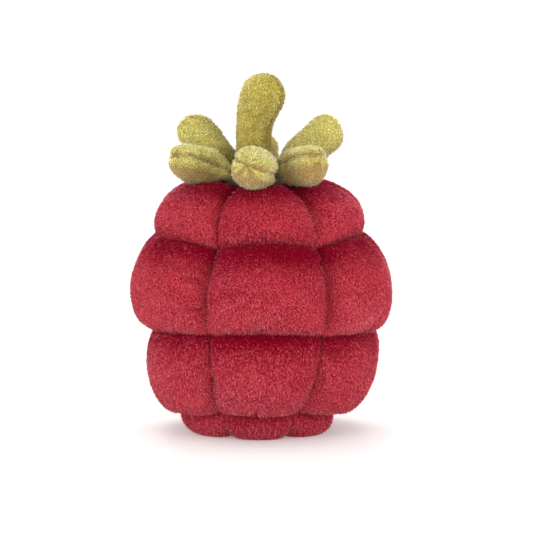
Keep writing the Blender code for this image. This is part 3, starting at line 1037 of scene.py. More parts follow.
    def make_pad(self, row: Row, column: int, seed: int, puff: Array | None) -> bpy.types.Object:
        """Make one pad of the cover.

        Args:
            row: The row that the pad is in.
            column: The pad's place in the row.
            seed: The pad's own seed.
            puff: Shift of a coarse grid of the pad's points by the simulation.

        Returns:
            The pad.
        """
        name = "{}_{}".format(row.node, column + 1)
        across, up = self.shares(row, column, row.cells)
        cloth_across, cloth_up = np.linspace(0.0, 1.0, len(across)), np.linspace(0.0, 1.0, len(up))
        across, sunk_across = self.with_walls(across)
        up, sunk_up = self.with_walls(up)
        cloth_across = self.with_walls(cloth_across)[0]
        cloth_up = self.with_walls(cloth_up)[0]
        across_grid, up_grid = np.meshgrid(across, up)
        sunk = self.wall_depth * np.maximum(*np.meshgrid(sunk_across, sunk_up))
        size = self.pad_size(row, column)
        s, t = np.meshgrid(cloth_across * size[0], cloth_up * size[1])
        dip = self.corner_dip(s, t, size) + self.pile_inset
        front = self.surface(row, column, across_grid, up_grid, sunk + dip)
        if puff is not None:
            rows_to = cubic_weights(puff.shape[0], cloth_up)
            columns_to = cubic_weights(puff.shape[1], cloth_across)
            front = front + np.einsum("ri,ijk,cj->rck", rows_to, puff, columns_to)
        inside = np.minimum(np.minimum(s, size[0] - s), np.minimum(t, size[1] - t))
        fade = smooth_step(inside / self.seam_relief_run)
        out = self.relief(name, seed, s, t, size) * blend(self.seam_relief, 1.0, fade)
        front = front + sheet_normals(front) * out[..., None] * (sunk == 0.0)[..., None]
        front[..., 2] = np.maximum(front[..., 2], 0.0)
        back = self.surface(row, column, across_grid, up_grid, sunk + dip + self.thickness)
        back = back[::BACK_STEP, ::BACK_STEP]
        centre = back.mean(axis=(0, 1))
        back = centre + (back - centre) * self.back_scale
        nap = np.stack((s / MM, t / MM, self.nap_and_painted_light(row, column, seed, s, t, size)), -1)
        plan = closed_pad(front, back, nap)
        plan.add_tufts(self.pile.grow(front, sheet_normals(front), nap, 1.0 * (sunk == 0.0), seed))
        plan.points[:, 2] = np.maximum(plan.points[:, 2], 0.0)
        return plan.make("pad_" + name)

    def build(self, settle: Callable[[list[Array]], list[Array]] | None) -> list[bpy.types.Object]:
        """Make and dress every pad.

        Args:
            settle: The cloth simulation, or None to leave it out.

        Returns:
            The pieces.
        """
        places = [(row, column) for row in self.rows for column in range(self.columns)]
        puffs: list[Array | None] = [None] * len(places)
        if settle is not None:
            puffs = list(settle([self.coarse(row, column) for row, column in places]))
        material = self.finish.make()
        pieces = []
        for index, (row, column) in enumerate(places):
            pad = self.make_pad(row, column, self.first_seed + self.seed_step * index, puffs[index])
            attach(pad, material)
            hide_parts("{}_{}".format(row.node, column + 1))
            pieces.append(pad)
        return pieces

    def coarse(self, row: Row, column: int) -> Array:
        """Return the coarse grid of a pad that the simulation starts from."""
        across, up = self.shares(row, column, self.settling_cells)
        grid = np.meshgrid(across, up)
        return self.surface(row, column, grid[0], grid[1], np.zeros_like(grid[0]))


@dataclass
class Underside:
    """The round panel under the toy, flat where it stands and curled up at its seam."""

    finish: Velour
    pile: Pile = Pile(length_mm=0.5, rise=12.0, rise_spread=5.0)
    radius: float = 12.8 * MM
    flat: float = 10.6 * MM
    curl: float = 0.9 * MM
    thickness: float = 1.3 * MM
    cells: int = 48

    def build(self) -> bpy.types.Object:
        """Make and dress the panel."""
        u = np.linspace(-1.0, 1.0, self.cells + 1)
        x, y = np.meshgrid(u, u)
        reach = np.maximum(np.abs(x), np.abs(y))
        size = np.hypot(x, y)
        scale = np.where(size > 0.0, reach / np.maximum(size, 1e-9), 0.0) * self.radius
        x, y = x * scale, y * scale
        radius = np.hypot(x, y)
        bumps = 0.05 * MM * (1.0 + Grain(31).at(x / MM / 1.9, y / MM / 1.7))
        height = self.curl * smooth_step((radius - self.flat) / (self.radius - self.flat))
        height = height + bumps * smooth_step(radius / self.flat * 4.0)
        front = np.stack((x, -y, height), -1)
        back = np.stack((x, -y, height + self.thickness), -1)[::BACK_STEP, ::BACK_STEP] * (0.97, 0.97, 1.0)
        nap = np.stack((x / MM, y / MM, np.full_like(x, 0.55)), -1)
        plan = closed_pad(front, back, nap)
        plan.add_tufts(self.pile.grow(front, sheet_normals(front), nap, np.ones_like(x), 41))
        plan.points[:, 2] = np.maximum(plan.points[:, 2], 0.0)
        panel = plan.make("underside_round")
        attach(panel, self.finish.make())
        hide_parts("underside_panel")
        return panel


# Calyx


@dataclass(frozen=True)
class Lobe:
    """One lobe of the calyx: its way out, its fullness, its seam's turn and its tone."""

    azimuth: float
    length: float
    pitch: float
    sway: float
    girth: float
    belly: float
    roll: float
    seam_lift: float
    tone: float

    def directions(self) -> tuple[Array, Array]:
        """Return the lobe's level directions, outwards and sideways."""
        angle = math.radians(self.azimuth)
        outwards = np.array((math.sin(angle), -math.cos(angle), 0.0))
        return outwards, np.array((math.cos(angle), math.sin(angle), 0.0))


@dataclass(frozen=True)
class LobeSkin:
    """Places on one layer of a lobe.

    Args:
        index: The lobe's place in the star.
        lobe: The lobe.
        face: The layer.
        across: Share across the lobe, -1 to 1.
        reach: Distance from the calyx centre.
        offset: Distance beside the lobe's middle.
        stand: Distance off the seam.
    """

    index: int
    lobe: Lobe
    face: Face
    across: Array
    reach: Array
    offset: Array
    stand: Array


@dataclass
class Calyx:
    """A star of six stuffed lobes, sewn from an upper and an under layer."""

    finish: Velour
    crown: Callable[[Array], Array]
    centre: tuple[float, float, float] = (-2.0 * MM, 0.0, 83.9 * MM)
    lobes: tuple[Lobe, ...] = (
        Lobe(6, 33.0 * MM, 9, -6.0 * MM, 1.04, 1.0, -22, 1.0 * MM, -0.05),
        Lobe(48, 33.5 * MM, 10, -2.0 * MM, 1.0, 1.0, -6, 3.2 * MM, 0.0),
        Lobe(104, 36.2 * MM, 43, -1.5 * MM, 1.0, 1.0, 55, 0.0, 0.0),
        Lobe(175, 34.0 * MM, 15, 0.5 * MM, 1.0, 1.0, 0, 0.0, 0.0),
        Lobe(238, 35.0 * MM, 48, 2.5 * MM, 1.0, 1.0, -75, 0.0, 0.05),
        Lobe(294, 33.5 * MM, 10, 1.5 * MM, 1.0, 0.6, 6, 2.6 * MM, 0.22),
    )
    width: float = 12.4 * MM
    thickness: float = 12.2 * MM
    cloth: float = 1.2 * MM
    roundness: float = 2.4
    tip_share: float = 0.6
    tip_bluntness: float = 2.4
    root_flat: float = 6.6 * MM
    root_reach: float = 9.5 * MM
    root_share: float = 1.0 / 3.0
    root_pitch: float = 38.0
    notch_run: float = 2.0 * MM
    pitch_run: float = 8.0 * MM
    swell_end: float = 19.0 * MM
    tilt_run: float = 6.0 * MM
    roll_run: float = 12.0 * MM
    seam_gap: float = 0.4 * MM
    under_part: float = 0.8
    rest_clearance: float = 0.4 * MM
    cells: tuple[int, int] = (36, 56)
    pile: Pile = Pile(
        density=4.4,
        length_mm=1.2,
        width_mm=0.5,
        swirl=25.0,
        clump_mm=(0.6, 1.4),
        clump_light_and_shade=0.22,
        clump_height=0.45,
    )
    edge_run: float = 0.5 * MM
    pinch_run: float = 4.0 * MM
    lift_stop: float = 4.0 * MM
    tip_run: Pair = (6.0 * MM, 4.0 * MM)
    pucker_depth: float = 0.8 * MM
    # Painted shade in the puckers' folds and painted light on their crests.
    pucker_shade: float = 0.9
    side_pucker: float = 0.5
    side_tuft_mm: float = 1.6
    side_reach: float = 3.0 * MM
    fan_pucker: float = 1.7
    fan_rays: float = 3.0
    fan_reach: float = 4.6 * MM
    fan_eye: float = 1.0 * MM
    pucker_seed: int = 870
    relief_seed: int = 900
    tone_seed: int = 960
    pile_seed: int = 300
    tip_draws: tuple[Pair, ...] = ((0.5 * MM, 0.8 * MM), (1.1 * MM, 2.6 * MM))
    side_draws: tuple[Pair, ...] = ((0.8 * MM, 0.7 * MM), (0.5 * MM, 1.8 * MM))
    wave_depth_mm: float = 0.28
    bump_depth_mm: float = 0.08
    # Painted shade along the lobes' seams.
    crease_shade: float = 0.8
    patch_tone: float = 0.08

    def half_angle(self, index: int, step: int) -> float:
        """Return half the angle between a lobe's root and its neighbour's, in radians."""
        other = self.lobes[(index + step) % len(self.lobes)].azimuth
        return math.radians((other - self.lobes[index].azimuth) * step % 360 / 2.0)

    def slope(self, lobe: Lobe, reach: Array) -> Array:
        """Return the angle above level along a lobe, in radians."""
        outer = smooth_step((reach - self.root_reach) / self.pitch_run)
        return np.where(reach < self.root_flat, 0.0, np.radians(blend(self.root_pitch, lobe.pitch, outer)))

    def path(self, lobe: Lobe, reach: Array) -> tuple[Array, Array]:
        """Return how far out and how far up a lobe's seam plane has got."""
        table = np.linspace(0.0, lobe.length, 1401)
        middle = (table[1:] + table[:-1]) / 2.0
        slopes = self.slope(lobe, middle)
        step = table[1] - table[0]
        out = np.concatenate(([0.0], np.cumsum(np.cos(slopes)))) * step
        up = np.concatenate(([0.0], np.cumsum(np.sin(slopes)))) * step
        return np.interp(reach, table, out), np.interp(reach, table, up)

    def tip_left(self, lobe: Lobe, reach: Array) -> Array:
        """Return how much of a lobe's section is left where it rounds off."""
        start = lobe.length - self.width * self.tip_share
        past = np.clip((reach - start) / (lobe.length - start), 0.0, 1.0)
        return np.sqrt(np.maximum(1.0 - past**self.tip_bluntness, 0.0))

    def half_width(self, index: int, side: int, reach: Array) -> Array:
        """Return a lobe's half width on one side, shared with its neighbour in the root."""
        lobe = self.lobes[index]
        wedge = self.path(lobe, reach)[0] * math.tan(self.half_angle(index, side))
        free = wedge - self.seam_gap * smooth_step((reach - self.root_reach) / self.notch_run)
        full = self.width / 2.0 * lobe.girth * self.tip_left(lobe, reach)
        wide = np.minimum(blend(free, full, smooth_step((reach - self.root_reach) / self.pitch_run)), free)
        return np.where(reach <= self.root_reach, wedge, wide)

    def under_fullness(self, lobe: Lobe, reach: Array) -> Array:
        """Return how full the underside of a lobe is beside its upper side."""
        past = (reach - self.root_reach) / (lobe.length - self.root_reach)
        outer = blend(self.under_part, 1.0, smooth_step(past * 1.4))
        tip = blend(1.0, lobe.belly, smooth_step(past * 2.0 - 1.0))
        return blend(1.0, outer, smooth_step(past * 8.0)) * tip

    def reaches(self, lobe: Lobe, along: Array) -> Array:
        """Return the distance from the calyx centre at a share of the lobe."""
        outer = np.maximum(along - self.root_share, 0.0) / (1.0 - self.root_share)
        far = blend(self.root_reach, lobe.length, np.sin(outer * math.pi / 2.0))
        return np.where(along <= self.root_share, self.root_reach * along / self.root_share, far)

    def layer(self, index: int, face: Face) -> tuple[Array, Array]:
        """Make one layer of one lobe.

        Args:
            index: The lobe's place in the star.
            face: The layer.

        Returns:
            The grid of its points, and their cloth coordinates and lightness, painted light and shade
            included.
        """
        lobe = self.lobes[index]
        turn = np.linspace(-0.5, 0.5, self.cells[0] + 1) * math.pi
        across, along = np.meshgrid(np.sin(turn), np.linspace(0.0, 1.0, self.cells[1] + 1))
        across[:, 0], across[:, -1] = -1.0, 1.0
        reach = self.reaches(lobe, along)
        pinch = smooth_step((reach - self.root_flat) / (self.root_reach - self.root_flat))
        round_off = np.sqrt(np.maximum(1.0 - pinch * np.abs(across) ** self.roundness, 0.0))
        fullness = 1.0 if face is Face.UPPER else self.under_fullness(lobe, reach)
        swelling = smooth_step((reach - self.root_reach) / (self.swell_end - self.root_reach))
        thick = blend(self.cloth, self.thickness / 2.0 * lobe.girth, swelling)
        lifted = (reach - self.root_reach) / (lobe.length - self.lift_stop - self.root_reach)
        lift = lobe.seam_lift * smooth_step(lifted)
        stand = (thick * fullness - face.value * lift) * round_off * self.tip_left(lobe, reach)
        half = np.where(across > 0, self.half_width(index, 1, reach), self.half_width(index, -1, reach))
        offset = across * half
        level = face.value * stand + lift
        roll = math.radians(lobe.roll) * smooth_step((reach - self.root_reach) / self.roll_run)
        rolled = offset * np.cos(roll) - level * np.sin(roll), offset * np.sin(roll) + level * np.cos(roll)
        points = self.place(lobe, reach, *rolled)
        clear = smooth_step(stand / self.edge_run)
        if face is Face.UNDER:
            resting = self.crown(np.hypot(points[..., 0], points[..., 1])) + self.rest_clearance
            points[..., 2] += np.maximum(resting - points[..., 2], 0.0) * clear
        skin = LobeSkin(index, lobe, face, across, reach, offset, stand)
        pucker = self.puckers(skin)
        out = self.relief(skin) - self.pucker_depth * pucker * clear
        normals = sheet_normals(points) * -face.value
        size = np.linalg.norm(normals, axis=-1, keepdims=True)
        points = points + np.where(size > 0.5, normals, 0.0) * out[..., None] - self.seam_draw(skin, roll)
        around_mm = turn[None, :] * self.width / 2.0 / MM + np.zeros_like(across)
        # Painted shade in the puckers' folds and painted light on their crests.
        nap_and_painted_light = np.clip(self.nap_and_painted_light(skin) - self.pucker_shade * pucker, 0.0, 1.0)
        nap = np.stack((around_mm + 40.0 * index, reach / MM + 50.0 * (face is Face.UNDER), nap_and_painted_light), -1)
        return points, nap

    def place(self, lobe: Lobe, reach: Array, offset: Array, stand: Array) -> Array:
        """Return points at a reach, an offset across and a stand off the seam plane."""
        out, up = self.path(lobe, reach)
        tilt = self.slope(lobe, reach) * smooth_step((reach - self.root_reach) / self.tilt_run)
        past = np.maximum(reach - self.root_reach, 0.0) / (lobe.length - self.root_reach)
        outwards, sideways = lobe.directions()
        level = out - stand * np.sin(tilt)
        beside = offset + lobe.sway * past * past
        points = outwards * level[..., None] + sideways * beside[..., None]
        points[..., 2] += up + stand * np.cos(tilt)
        return points + np.array(self.centre)

    def along_lobe(self, skin: LobeSkin) -> Pair:
        """Return 1 on the end of a lobe and 0 along its sides, and 1 past the root."""
        start, run = self.tip_run
        at_tip = smooth_step((skin.reach - (skin.lobe.length - start)) / run)
        return at_tip, smooth_step((skin.reach - self.root_reach) / self.pinch_run)

    def puckers(self, skin: LobeSkin) -> Array:
        """Return the tufts that run across a lobe's seam and fan out at its tip.

        Args:
            skin: The places.

        Returns:
            The share of the folds' full depth, below 0 on a crest.
        """
        at_tip, pinch = self.along_lobe(skin)
        noise = Grain(self.pucker_seed + skin.index)
        rows = noise.ridges(skin.reach / MM / self.side_tuft_mm, np.full_like(skin.reach, 0.5), 2.0) - 0.35
        side = rows * bell(skin.stand, self.side_reach)
        centre = np.maximum(np.hypot(skin.offset, skin.stand), 0.1 * MM)
        turned = (skin.offset / centre, skin.face.value * skin.stand / centre)
        rays = noise.ridges(*(60.0 + self.fan_rays * part for part in turned), 1.6) - 0.4
        fan = rays * bell(centre, self.fan_reach) * smooth_step(centre / self.fan_eye)
        return blend(self.side_pucker * side, self.fan_pucker * fan, at_tip) * pinch

    def seam_draw(self, skin: LobeSkin, roll: Array) -> Array:
        """Return the shift that draws a lobe's seam in.

        Args:
            skin: The places.
            roll: Angle that the lobe has rolled over, in radians.

        Returns:
            The shift, taken off the points.
        """
        at_tip, pinch = self.along_lobe(skin)
        outwards, sideways = skin.lobe.directions()
        tilt = self.slope(skin.lobe, skin.reach)[..., None]
        upright = np.array((0.0, 0.0, 1.0))
        forwards = outwards * np.cos(tilt) + upright * np.sin(tilt)
        normal = upright * np.cos(tilt) - outwards * np.sin(tilt)
        beside = sideways * np.cos(roll)[..., None] + normal * np.sin(roll)[..., None]
        tip, side = (
            sum(depth * bell(skin.stand, width) for depth, width in draws)
            for draws in (self.tip_draws, self.side_draws)
        )
        side_draw = (1.0 - at_tip) * pinch * side * np.sign(skin.across)
        return forwards * (at_tip * tip)[..., None] + beside * side_draw[..., None]

    def relief(self, skin: LobeSkin) -> Array:
        """Return the uneven height of a layer along its normal."""
        first = self.relief_seed + 20 * skin.index + 7 * (skin.face is Face.UNDER)
        wave, bump = Grain(first), Grain(first + 1)
        s_mm, t_mm = skin.across * 9.0, skin.reach / MM
        clear = smooth_step(skin.stand / (1.0 * MM)) * smooth_step((skin.reach - 3.0 * MM) / (2.0 * MM))
        out = self.wave_depth_mm * wave.at(s_mm / 6.0, t_mm / 7.0)
        return (out + self.bump_depth_mm * bump.at(s_mm / 1.9, t_mm / 1.8)) * clear * MM

    def nap_and_painted_light(self, skin: LobeSkin) -> Array:
        """Return how green the nap lies on a layer, green towards the tip and tan below, the tan partly nap
        and partly painted shade with a painted red bounce from the fruit.
        """
        lobe = skin.lobe
        outer = np.clip(skin.reach / lobe.length, 0.0, 1.0)
        light = 0.48 + lobe.tone + 0.32 * smooth_step(outer * 1.3 - 0.3)
        patches = Grain(self.tone_seed + skin.index).at(skin.across * 2.0, skin.reach / MM / 7.0)
        # Away from the seam the under layer turns tan: painted shade with a painted red bounce from the
        # fruit.
        if skin.face is Face.UNDER:
            shaded = smooth_step((skin.stand / MM - 1.0) / 3.5)
            light = light * (1.0 - shaded) + 0.8 * max(lobe.tone, 0.0)
        # Painted shade along the seam's crease, past the lobe's root.
        crease = bell(skin.stand, 0.9 * MM) * smooth_step((skin.reach / MM - 11.0) / 3.0)
        return light * (1.0 - self.crease_shade * crease) + self.patch_tone * patches

    def build(self) -> bpy.types.Object:
        """Make and dress the star."""
        layers = [(face, *self.layer(index, face)) for face in Face for index in range(len(self.lobes))]
        plan = joined_grids([layer[1] for layer in layers], [layer[2] for layer in layers], 4)
        for index, (face, points, nap) in enumerate(layers):
            normals = sheet_normals(points) * -face.value
            everywhere = np.ones(points.shape[:2])
            plan.add_tufts(self.pile.grow(points, normals, nap, everywhere, self.pile_seed + index))
        star = plan.make("calyx_star")
        weld(star)
        attach(star, self.finish.make())
        fillings = ["lobe_filling_{}".format(index + 1) for index in range(len(self.lobes))]
        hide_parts("calyx_upper_layer", "calyx_under_layer", *fillings)
        return star


# Stem


@dataclass
class Stem:
    """The stuffed stalk, a club that leans to the right above its waist."""

    finish: Velour
    foot: tuple[float, float, float] = (-2.6 * MM, 0.0, 86.2 * MM)
    top: float = 119.8 * MM
    radius: float = 5.7 * MM
    head_radius: float = 7.2 * MM
    dome: float = 7.6 * MM
    lean: tuple[float, float, float] = (3.4 * MM, -2.0 * MM, 0.0)
    lean_range: Pair = (99.0 * MM, 115.0 * MM)
    swell_range: Pair = (101.0 * MM, 111.0 * MM)
    seams: tuple[float, ...] = (62.0, 242.0)
    cells: tuple[int, int] = (84, 84)
    cloth_height_mm: float = 42.0
    wrap_mm: float = 9.0
    wrap_centre: float = 30.0
    seam_tuft_reach_mm: float = 2.4
    relief_seed: int = 801
    pile_seed: int = 330
    grooves_mm: tuple[Pair, ...] = ((1.4, 0.45), (0.35, 1.6))
    seam_tuft_mm: float = 0.35
    wave_depth_mm: float = 0.30
    rib_depth_mm: float = 0.10
    pile: Pile = Pile(
        density=5.0,
        width_mm=0.42,
        rise=40.0,
        clump_mm=(1.1, 0.5),
        clump_turn=12.0,
        clump_light_and_shade=0.85,
        clump_height=0.5,
    )

    def build(self) -> bpy.types.Object:
        """Make and dress the stem."""
        turn = np.linspace(self.seams[0], self.seams[0] + 360.0, self.cells[0] + 1)
        share = np.linspace(0.0, 1.0, self.cells[1] + 1)
        heights = self.even_heights(share)
        angle, height = np.meshgrid(turn, heights)
        lean = smooth_step((height - self.lean_range[0]) / (self.lean_range[1] - self.lean_range[0]))
        swell = smooth_step((height - self.swell_range[0]) / (self.swell_range[1] - self.swell_range[0]))
        radius = blend(self.radius, self.head_radius, swell)
        over = np.clip((height - self.top + self.dome) / self.dome, 0.0, 1.0)
        left = np.sqrt(np.maximum(1.0 - over * over, 0.0))
        seam_mm = self.seam_distance(angle, radius * left) / MM
        s_mm = np.radians(angle) * self.radius / MM
        t_mm = share[:, None] * self.cloth_height_mm + np.zeros_like(angle)
        out = self.relief(seam_mm, t_mm, left, angle)
        axis = np.array((self.foot[0], self.foot[1], 0.0)) + np.array(self.lean) * lean[..., None]
        points = around(radius * left + out * MM * np.maximum(left, 0.0), angle, height) + axis
        points[..., 2] += out * MM * over
        points[-1] = points[-1].mean(axis=0)
        points[0] = points[0].mean(axis=0)
        # Painted light on the stem's front left side and on its dome, and painted shade in its seam's groove.
        nap_and_painted_light = np.clip(0.46 + 0.20 * np.cos(np.radians(angle + 60.0)) + 0.2 * over, 0.0, 1.0)
        nap = np.stack((s_mm, t_mm, nap_and_painted_light * smooth_step(seam_mm / 1.5 + 0.1)), -1)
        plan = joined_grids([points], [nap], 1)
        keep = smooth_step(seam_mm / 0.6)
        plan.add_tufts(self.pile.grow(points, sheet_normals(points), nap, keep, self.pile_seed))
        stem = plan.make("stem_stalk")
        weld(stem)
        attach(stem, self.finish.make())
        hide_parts("stem_cover_left", "stem_cover_right", "stem_filling")
        return stem

    def even_heights(self, share: Array) -> Array:
        """Return heights that lie evenly along the stem's skin, foot first."""
        angle = np.linspace(0.0, math.pi / 2.0, 400)
        dome_out, dome_up = self.head_radius * (1.0 - np.cos(angle)), self.dome * np.sin(angle)
        steps = np.hypot(np.diff(dome_out), np.diff(dome_up))
        side = self.top - self.dome - self.foot[2]
        length = np.concatenate(([0.0, side], side + np.cumsum(steps)))
        neck = self.top - self.dome
        height = np.concatenate(([self.foot[2], neck], neck + dome_up[1:]))
        return np.interp(share * length[-1], length, height)

    def seam_distance(self, angle: Array, radius: Array) -> Array:
        """Return the distance round the stem to the nearest seam."""
        turns = [np.abs((angle - seam + 180.0) % 360.0 - 180.0) for seam in self.seams]
        return np.radians(np.minimum(*turns)) * radius

    def relief(self, seam_mm: Array, t_mm: Array, left: Array, angle: Array) -> Array:
        """Return the height of the stem's relief in millimetres."""
        turn = np.radians(angle)
        x, y = (part * self.wrap_mm + self.wrap_centre for part in (np.cos(turn), np.sin(turn)))
        grain = [Grain(self.relief_seed + step) for step in range(3)]
        groove = sum(depth * bell(seam_mm, width) for depth, width in self.grooves_mm)
        out = -groove * (0.35 + 0.65 * smooth_step(left * 1.6))
        tufts = grain[0].ridges(t_mm / 1.7, np.zeros_like(t_mm), 2.0)
        out = out - self.seam_tuft_mm * (tufts - 0.4) * np.exp(-seam_mm / self.seam_tuft_reach_mm)
        out = out + self.wave_depth_mm * grain[1].at(x / 7.0, t_mm / 7.0 + y / 9.0)
        ribs = grain[2].at(x / 2.6 + y / 3.1, t_mm / 1.2)
        return out + self.rib_depth_mm * ribs * smooth_step(left * 3.0)


# Filling


@dataclass
class Filling:
    """The fibre lump inside the cover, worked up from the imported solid."""

    finish: Fibre
    node: str = "body_filling"
    voxel: float = 2.0 * MM
    tuft: float = 0.35 * MM
    shrink: float = 1.9 * MM
    smoothing: int = 6
    bump_mm: Pair = (4.0, 5.0)

    def build(self) -> bpy.types.Object:
        """Make and dress the lump."""
        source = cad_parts[self.node]
        mesh = source.data.copy()
        mesh.materials.clear()
        lump = show("fibre_filling", mesh)
        lump.matrix_world = source.matrix_world
        remesh = lump.modifiers.new("Voxels", "REMESH")
        remesh.mode = "VOXEL"
        remesh.voxel_size = self.voxel
        soften = lump.modifiers.new("Soften", "SMOOTH")
        soften.iterations = self.smoothing
        settled = bpy.data.meshes.new_from_object(lump.evaluated_get(bpy.context.evaluated_depsgraph_get()))
        lump.modifiers.clear()
        lump.data = settled
        bpy.data.meshes.remove(mesh)
        count = len(settled.vertices)
        points, normals = np.zeros(count * 3), np.zeros(count * 3)
        settled.vertices.foreach_get("co", points)
        settled.vertices.foreach_get("normal", normals)
        points, normals = points.reshape(-1, 3), normals.reshape(-1, 3)
        x, y, z = points.T / MM
        near, far = self.bump_mm
        bumps = Grain(701).at(x / near + z / far, y / near)
        points = points + normals * (self.tuft * (bumps - 1.0) - self.shrink)[:, None]
        settled.vertices.foreach_set("co", points.ravel())
        settled.shade_smooth()
        attach(lump, self.finish.make())
        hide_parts(self.node)
        return lump


# Simulation


@dataclass
class Inflation:
    """Cloth simulation that fills the pads between their seams."""

    scale: float = 12.0
    pressure: float = 4.0
    extra_cloth: float = 0.03
    stiffness: float = 12.0
    bending: float = 20.0
    frames: int = 20
    quality: int = 6
    mass: float = 0.2
    cap: float = 0.8 * MM

    def settle(self, sheets: list[Array]) -> list[Array]:
        """Blow up a group of sheets that are held along their seams.

        Args:
            sheets: Coarse grids of points, one for each pad.

        Returns:
            How far each point moved, no further than the cap.
        """
        plan = joined_grids(sheets, [np.zeros_like(sheet) for sheet in sheets], len(sheets))
        plan.points = plan.points * self.scale
        cloth = plan.make("settling_cloth")
        held = cloth.vertex_groups.new(name="held")
        start = 0
        for sheet in sheets:
            edge = border(*sheet.shape[:2])[:-1] + start
            held.add([int(vertex) for vertex in edge], 1.0, "REPLACE")
            start += sheet.shape[0] * sheet.shape[1]
        self.set_cloth(cloth, held.name)
        scene = bpy.context.scene
        for step in range(1, self.frames + 1):
            scene.frame_set(step)
        shape = cloth.evaluated_get(bpy.context.evaluated_depsgraph_get()).to_mesh()
        moved = np.zeros(len(plan.points) * 3)
        shape.vertices.foreach_get("co", moved)
        shift = (moved.reshape(-1, 3) - plan.points) / self.scale
        scene.frame_set(1)
        data = cloth.data
        bpy.data.objects.remove(cloth, do_unlink=True)
        bpy.data.meshes.remove(data)
        length = np.linalg.norm(shift, axis=1, keepdims=True)
        shift = shift * np.minimum(1.0, self.cap / np.maximum(length, 1e-9))
        LOG.info("settled cloth: mean %.2f mm, most %.2f mm", length.mean() / MM, length.max() / MM)
        sizes = np.cumsum([sheet.shape[0] * sheet.shape[1] for sheet in sheets])[:-1]
        parts = np.split(shift, sizes)
        return [part.reshape(sheet.shape) for part, sheet in zip(parts, sheets)]

    def set_cloth(self, cloth: bpy.types.Object, held: str) -> None:
        """Give an object its cloth settings."""
        modifier = cloth.modifiers.new("Cloth", "CLOTH")
        settings = modifier.settings
        settings.quality = self.quality
        settings.mass = self.mass
        settings.vertex_group_mass = held
        settings.tension_stiffness = self.stiffness
        settings.compression_stiffness = self.stiffness
        settings.shear_stiffness = self.stiffness / 2.0
        settings.bending_stiffness = self.bending
        settings.shrink_min = -self.extra_cloth
        settings.use_pressure = True
        settings.uniform_pressure_force = self.pressure
        settings.effector_weights.gravity = 0.0
        modifier.collision_settings.use_collision = False
        modifier.point_cache.frame_end = self.frames


# Studio


@dataclass(frozen=True)
class Lamp:
    """A soft square lamp that faces the toy."""

    name: str
    place: tuple[float, float, float]
    size: float
    power: float


@dataclass
class Studio:
    """A pale floor, soft light and the camera."""

    aim: tuple[float, float, float] = (1.85 * MM, 0.0, 55.15 * MM)
    distance: float = 0.9
    elevation: float = 7.0
    frame_width: float = 178.8 * MM
    sensor_mm: float = 36.0
    sky: float = 1.0
    floor_size: float = 30.0
    floor_drop: float = 0.05 * MM
    paper: Paper = Paper("studio_paper", (0.84, 0.835, 0.825), 0.22)
    lamps: tuple[Lamp, ...] = (
        Lamp("back", (-0.08, 0.65, 1.05), 0.8, 6.0),
        Lamp("left", (-1.05, -0.80, 0.24), 0.46, 6.5),
        Lamp("right", (1.05, -0.80, 0.24), 0.46, 6.5),
        Lamp("low", (0.0, -1.10, 0.12), 0.22, 2.0),
    )

    def build(self) -> None:
        """Set up the stage, the light and the camera."""
        self.set_sky()
        self.make_floor()
        for lamp in self.lamps:
            self.hang(lamp)
        self.make_camera()
        bpy.context.scene.view_settings.view_transform = "Standard"

    def set_sky(self) -> None:
        """Light the scene evenly from all round."""
        world = bpy.data.worlds.new("soft_white")
        bpy.context.scene.world = world
        world.use_nodes = True
        sheet = NodeSheet(world.node_tree)
        inputs = {"Color": WHITE, "Strength": self.sky}
        light = sheet.add("ShaderNodeBackground", {}, inputs)
        sheet.add("ShaderNodeOutputWorld", {}, {"Surface": light})

    def make_floor(self) -> None:
        """Lay the pale floor."""
        mesh = bpy.data.meshes.new("floor")
        half = self.floor_size / 2.0
        corners = [(-half, -half, 0.0), (half, -half, 0.0), (half, half, 0.0), (-half, half, 0.0)]
        mesh.from_pydata(corners, [], [(0, 1, 2, 3)])
        mesh.materials.append(self.paper.make())
        floor = show("floor", mesh)
        floor.location.z = -self.floor_drop

    def hang(self, lamp: Lamp) -> None:
        """Hang a lamp and turn it to the toy."""
        light = bpy.data.lights.new(lamp.name, "AREA")
        light.size = lamp.size
        light.energy = lamp.power
        holder = show(lamp.name, light)
        holder.location = lamp.place
        direction = Vector(self.aim) - holder.location
        holder.rotation_euler = direction.to_track_quat("-Z", "Y").to_euler()

    def make_camera(self) -> None:
        """Place the camera where the photograph was taken from."""
        camera = bpy.data.cameras.new("camera")
        camera.sensor_width = self.sensor_mm
        camera.lens = self.sensor_mm * self.distance / self.frame_width
        camera.clip_start, camera.clip_end = 0.01, 100.0
        holder = show("camera", camera)
        angle = math.radians(self.elevation)
        back = Vector((0.0, -math.cos(angle), math.sin(angle)))
        holder.location = Vector(self.aim) + back * self.distance
        holder.rotation_euler = (-back).to_track_quat("-Z", "Y").to_euler()
        bpy.context.scene.camera = holder


# Finishes

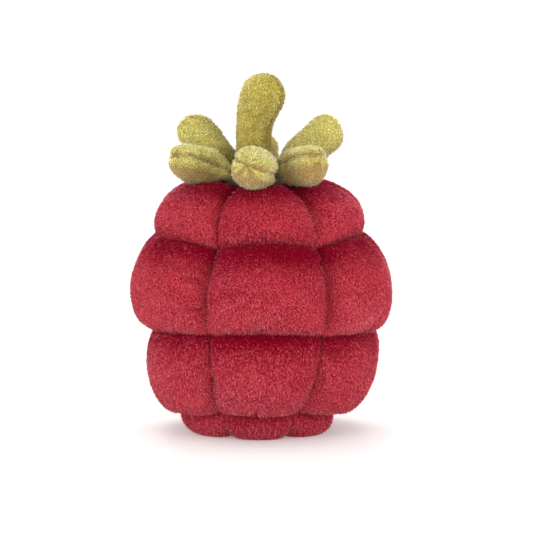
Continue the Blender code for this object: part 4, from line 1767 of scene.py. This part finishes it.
# Each root colour is painted shade between the tufts and each tip colour a painted highlight on them; the
# crimson's dark nap also carries painted shade under the seams.
CRIMSON = Velour(
    "crimson_velour",
    root=(0.07, 0.0003, 0.004),
    dark=(0.25, 0.0005, 0.012),
    light=(0.77, 0.068, 0.096),
    tip=(0.93, 0.165, 0.195),
    tint=(1.0, 0.45, 0.48),
    sheen=0.05,
    gloss=0.02,
)
# The leaf's dark nap is tan, the painted shade and painted red bounce of the under layer; its tip colour is a
# painted highlight.
LEAF = Velour(
    "leaf_velour",
    root=(0.25, 0.21, 0.03),
    dark=(0.50, 0.275, 0.105),
    light=(0.92, 0.85, 0.25),
    tip=(1.0, 0.96, 0.58),
    tint=(1.0, 0.97, 0.70),
    sheen=0.35,
)
# The stalk's nap gets painted light on its front left side and dome, and painted shade in its seam.
STALK = Velour(
    "stem_velour",
    root=(0.11, 0.082, 0.01),
    dark=(0.31, 0.21, 0.03),
    light=(0.86, 0.71, 0.15),
    tip=(0.98, 0.87, 0.42),
    tint=(1.0, 0.97, 0.70),
    sheen=0.3,
)
WADDING = Fibre("filling_fibre", dark=(0.70, 0.69, 0.66), light=(0.90, 0.89, 0.86))


def crown_profile(cover: Cover) -> Callable[[Array], Array]:
    """Return a function that gives the height of the top pads at a radius.

    Args:
        cover: The fruit's cover.

    Returns:
        A function of the distance from the toy's axis.
    """
    up = np.linspace(0.0, 1.0, 200)
    points = cover.surface(cover.rows[-1], 0, np.full_like(up, 0.5), up, np.zeros_like(up))
    radius = np.hypot(points[:, 0], points[:, 1])
    first = int(np.argmax(radius))
    order = slice(None, first - 1 if first else None, -1)
    return lambda reach: np.interp(reach, radius[order], points[order, 2])


def main() -> None:
    """Build and dress the toy, piece by piece."""
    logging.basicConfig(level=logging.INFO, format="%(message)s")
    cover = Cover(CRIMSON)
    settle = Inflation().settle
    for pad in cover.build(settle):
        LOG.info("%s: %d faces", pad.name, len(pad.data.polygons))
    pieces = [
        Underside(CRIMSON).build(),
        Calyx(LEAF, crown_profile(cover)).build(),
        Stem(STALK).build(),
        Filling(WADDING).build(),
    ]
    for piece in pieces:
        LOG.info("%s: %d faces", piece.name, len(piece.data.polygons))
    Studio().build()


if __name__ == "__main__":
    main()
